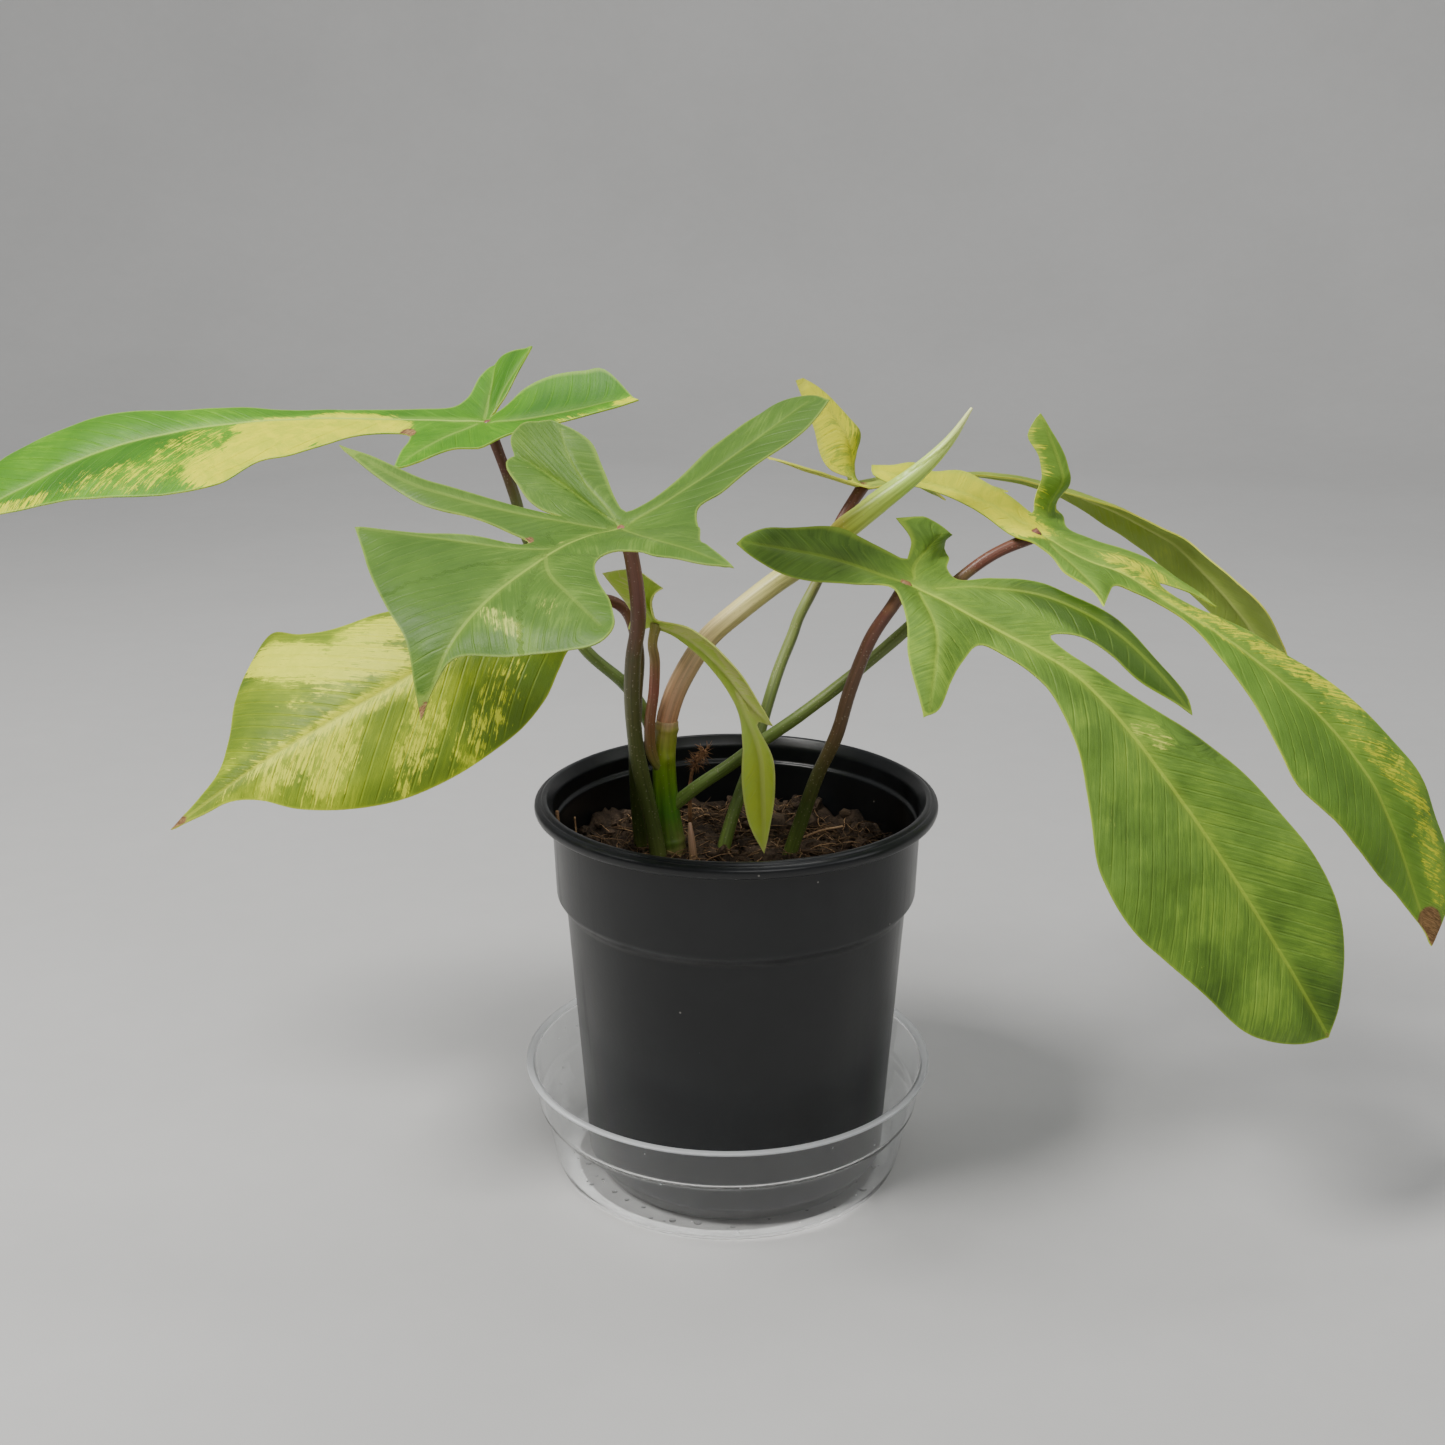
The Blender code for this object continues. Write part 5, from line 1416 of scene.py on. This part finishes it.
class PHILODENDRON_OT_pot(Operator):
    """Black nursery pot and clear saucer"""

    bl_idname = "philodendron.pot"
    bl_label = "Pot and saucer"

    def execute(self, context):
        look = context.scene.philodendron_pot
        groups = shared_groups()
        pot = lathe("black_nursery_pot", pot_profile(), look.facets,
                    [pot_material(groups, look.plastic)])
        finish_piece(pot, "pot_plastic", "nursery_pot")
        saucer = lathe("clear_saucer", saucer_profile(), look.facets,
                       [clear_plastic(groups, look.tint)], (SAUCER_MIDDLE, 0.0))
        finish_piece(saucer, "clear_plastic", "saucer")
        water_beads(saucer.data.materials[0], 46)
        return {"FINISHED"}


class PHILODENDRON_OT_mix(Operator):
    """Potting mix with crumbs and coir strands"""

    bl_idname = "philodendron.mix"
    bl_label = "Potting mix"

    def execute(self, context):
        look = context.scene.philodendron_mix
        groups = shared_groups()
        fibre = mix_material("dry_coir", look.fibre, [c * 0.4 for c in look.fibre], groups, 0.8)
        pale = mix_material("pale_coir", [min(1, c * 1.7) for c in look.fibre],
                            list(look.fibre), groups, 0.8)
        dark = mix_material("dark_coir", [c * 0.42 for c in look.fibre],
                            [c * 0.15 for c in look.fibre], groups, 0.85)
        crumb = mix_material("bark_crumb", [c * 1.5 for c in look.soil],
                             [c * 0.4 for c in look.soil], groups)
        build_mix(look, groups)
        # name, reach, source, material, share of the density, smallest, largest, tilt, lift
        kinds = (("long_coir", 44, curved_fibre("strand", 17, 0.36, 3.5, 3.0), fibre, 0.26, 0.5,
                  1.2, 0.50, 0.0008),
                 ("short_coir", 50, curved_fibre("strand", 8, 0.30, 1.6, 1.6), pale, 0.45, 0.4, 1.3,
                  0.75, 0.0010),
                 ("dark_coir_strands", 48, curved_fibre("strand", 12, 0.45, 2.4, 2.0), dark, 0.8,
                  0.5, 1.4, 0.55, 0.0006),
                 ("bark_crumbs", 54, chip("crumb", 1.7, 3), crumb, 0.55, 0.35, 1.5, 1.3, 0.0005),
                 ("bark_crumbs_large", 52, chip("crumb", 3.2, 8), crumb, 0.05, 0.6, 1.5, 0.6,
                  0.0004))
        for number, (name, reach, source, mat, share, small, large, tilt, lift) in enumerate(kinds):
            scatter(name, reach, source, mat, look.density * share, look.seed + number, small,
                    large, tilt, lift)
        return {"FINISHED"}


class PHILODENDRON_OT_stems(Operator):
    """Main stem, petioles, aerial root and dried sprig"""

    bl_idname = "philodendron.stems"
    bl_label = "Stem and petioles"

    def execute(self, context):
        groups = shared_groups()
        maroon, dark_green, olive = (0.170, 0.060, 0.040), (0.085, 0.120, 0.028), (0.17, 0.24, 0.05)
        tall = skin_material("petiole_skin_dark", [(0.0, (0.18, 0.22, 0.05)), (0.22, dark_green),
                             (0.62, (0.105, 0.095, 0.032)), (0.80, maroon),
                             (1.0, (0.24, 0.09, 0.05))], groups)
        right = skin_material("petiole_skin_mixed", [(0.0, (0.15, 0.22, 0.04)), (0.30, dark_green),
                              (0.58, (0.16, 0.09, 0.04)), (0.92, maroon),
                              (1.0, (0.30, 0.15, 0.06))], groups)
        light = skin_material("petiole_skin_olive", [(0.0, (0.16, 0.25, 0.05)), (0.35, olive),
                              (0.70, (0.24, 0.29, 0.08)), (0.86, maroon),
                              (1.0, (0.20, 0.07, 0.045))], groups)
        short = skin_material("petiole_skin_red", [(0.0, (0.22, 0.25, 0.05)),
                              (0.3, (0.28, 0.14, 0.06)), (0.6, (0.34, 0.12, 0.08)),
                              (1.0, (0.28, 0.25, 0.06))], groups)
        skins = {"leaf_1": light, "leaf_2": tall, "leaf_3": tall, "leaf_4": short,
                 "leaf_5": light, "leaf_6": right, "leaf_7": light}
        for name, (radius, route) in STALKS.items():
            build_petiole(name, radius, route, skins[name])
        build_stem(groups)
        dry = mix_material("dry_sprig", (0.34, 0.18, 0.09), (0.10, 0.05, 0.025), groups, 0.85)
        pale = mix_material("straw", (0.55, 0.36, 0.20), (0.30, 0.17, 0.09), groups, 0.75)
        root = skin_material("aerial_root_skin", [(0.0, (0.16, 0.10, 0.05)),
                             (0.6, (0.30, 0.18, 0.10)), (1.0, (0.50, 0.30, 0.20))], groups)
        finish_piece(sweep("aerial_root_stub", ROOT_PATH, [1.35, 1.35, 1.2, 0.6], [root], sides=14,
                           step=0.7), "dry_fibre", "aerial_root")

        def knotty(along, angles, length):
            return 1 + 0.35 * noise.noise(Vector((length / 1.5, 0, 0)))

        finish_piece(sweep("coir_sprig", TWIG_PATH, [0.75, 0.7, 0.65, 0.6, 0.4], [dry], sides=10,
                           step=0.6, shape=knotty), "dry_fibre", "dried_sprig")
        tuft("sprig_tuft", TWIG_PATH[2:], 5.0, 130, dry)
        for number, (path, radius) in enumerate(STRAWS):
            finish_piece(sweep("loose_straw_%d" % (number + 1), path, [radius] * len(path), [pale],
                               sides=8, step=1.0), "dry_fibre")
        return {"FINISHED"}


def build_stem(groups):
    """The short main stem, with raised scars where old leaves stood."""
    scars = (0.24, 0.33, 0.96)

    def shape(along, angles, length):
        rings = sum(0.09 * math.exp(-((along - at) / 0.014) ** 2) for at in scars)
        rings += 0.10 * ease((0.30 - along) / 0.12)
        ridges = 0.03 * np.sin(3 * angles + 4 * along) + 0.02 * np.sin(7 * angles - 9 * along)
        bud = 0.22 * math.exp(-((along - 0.80) / 0.035) ** 2) * np.exp(-((angles - 2.4) / 0.5) ** 2)
        rough = 0.10 * ease((0.34 - along) / 0.08) * noise.noise(Vector((length / 1.3, 0, 5)))
        return 1 + rings + ridges + bud + rough + 0.04 * noise.noise(Vector((length / 6, 0, 0)))

    skin = skin_material("stem_skin_green", [(0.0, (0.22, 0.15, 0.07)), (0.26, (0.26, 0.22, 0.08)),
                         (0.36, (0.13, 0.22, 0.035)), (0.50, (0.085, 0.24, 0.025)),
                         (0.70, (0.16, 0.29, 0.022)), (0.84, (0.28, 0.34, 0.028)),
                         (0.95, (0.42, 0.39, 0.07)), (1.0, (0.54, 0.36, 0.17))],
                         groups, speck=(0.45, 0.35, 0.2), specks=0.15, roughness=0.33)
    finish_piece(sweep("main_stem_scarred", STEM_PATH, [4.5, 4.5, 3.95, 3.7, 3.6], [skin],
                       sides=36, step=0.6, shape=shape), "stem_skin", "main_stem")


class PHILODENDRON_OT_new_leaf(Operator):
    """The sheathed stalk and the leaf that is still rolled"""

    bl_idname = "philodendron.new_leaf"
    bl_label = "New leaf"

    def execute(self, context):
        groups = shared_groups()
        sheath = skin_material(
            "sheath_skin", [(0.0, (0.62, 0.30, 0.15)), (0.10, (0.70, 0.40, 0.22)),
                            (0.34, (0.72, 0.52, 0.28)), (0.55, (0.72, 0.62, 0.26)),
                            (0.85, (0.68, 0.68, 0.18)), (1.0, (0.70, 0.66, 0.18))],
            groups, speck=(0.34, 0.14, 0.06), specks=0.30, roughness=0.38, relief=0.2)

        def swollen(along, angles, length):
            node = 0.12 * math.exp(-((along - 0.965) / 0.018) ** 2)
            return 1 + node + 0.03 * np.sin(2 * angles + 3 * along) + 0.02 * np.sin(6 * angles)

        finish_piece(sweep("new_leaf_sheath", SHEATH_PATH, [3.3] * 6 + [3.35] * 3, [sheath],
                           sides=28, step=1.0, shape=swollen), "sheath_skin", "new_leaf_stalk")
        spear = skin_material(
            "rolled_leaf_skin", [(0.0, (0.72, 0.60, 0.07)), (0.12, (0.58, 0.68, 0.08)),
                                 (0.45, (0.46, 0.66, 0.10)), (0.80, (0.60, 0.76, 0.18)),
                                 (1.0, (0.85, 0.90, 0.38))],
            groups, speck=(0.7, 0.75, 0.4), specks=0.12, roughness=0.36, relief=0.25)

        def rolled(along, angles, length):
            turn = (angles + 1.2 - 3.5 * along) % (2 * math.pi)
            return 0.90 + 0.20 * turn / (2 * math.pi)

        finish_piece(sweep("rolled_new_leaf", SPEAR_PATH, [3.6, 3.9, 3.4, 2.6, 1.6, 0.45], [spear],
                           sides=40, step=0.8, shape=rolled), "spear_skin", "new_leaf_spear")
        return {"FINISHED"}


class PHILODENDRON_OT_leaves(Operator):
    """The seven lobed leaves"""

    bl_idname = "philodendron.leaves"
    bl_label = "Leaves"

    def execute(self, context):
        look = context.scene.philodendron_leaf
        groups = shared_groups()
        for name, leaf in LEAVES.items():
            build_leaf(name, leaf, look.spacing, look.thickness, groups)
        return {"FINISHED"}


class PHILODENDRON_PT_pieces(Panel):
    """Lists what can be made and its settings"""

    bl_label = "Philodendron"
    bl_idname = "PHILODENDRON_PT_pieces"
    bl_space_type = "VIEW_3D"
    bl_region_type = "UI"
    bl_category = "Philodendron"

    def draw(self, context):
        layout = self.layout
        for operator in OPERATORS:
            layout.operator(operator.bl_idname)
        for key, group in LOOKS.items():
            box = layout.box()
            for label in group.__annotations__:
                box.prop(getattr(context.scene, key), label)


OPERATORS = (PHILODENDRON_OT_stage, PHILODENDRON_OT_pot, PHILODENDRON_OT_mix,
             PHILODENDRON_OT_stems, PHILODENDRON_OT_new_leaf, PHILODENDRON_OT_leaves)


def register():
    for cls in (*LOOKS.values(), *OPERATORS, PHILODENDRON_PT_pieces):
        bpy.utils.register_class(cls)
    for key, group in LOOKS.items():
        setattr(bpy.types.Scene, key, PointerProperty(type=group))


def unregister():
    for key in LOOKS:
        delattr(bpy.types.Scene, key)
    for cls in (PHILODENDRON_PT_pieces, *reversed(OPERATORS), *LOOKS.values()):
        bpy.utils.unregister_class(cls)


def main():
    register()
    for name in ("stage", "pot", "mix", "stems", "new_leaf", "leaves"):
        getattr(bpy.ops.philodendron, name)()
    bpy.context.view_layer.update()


if __name__ == "__main__":
    main()
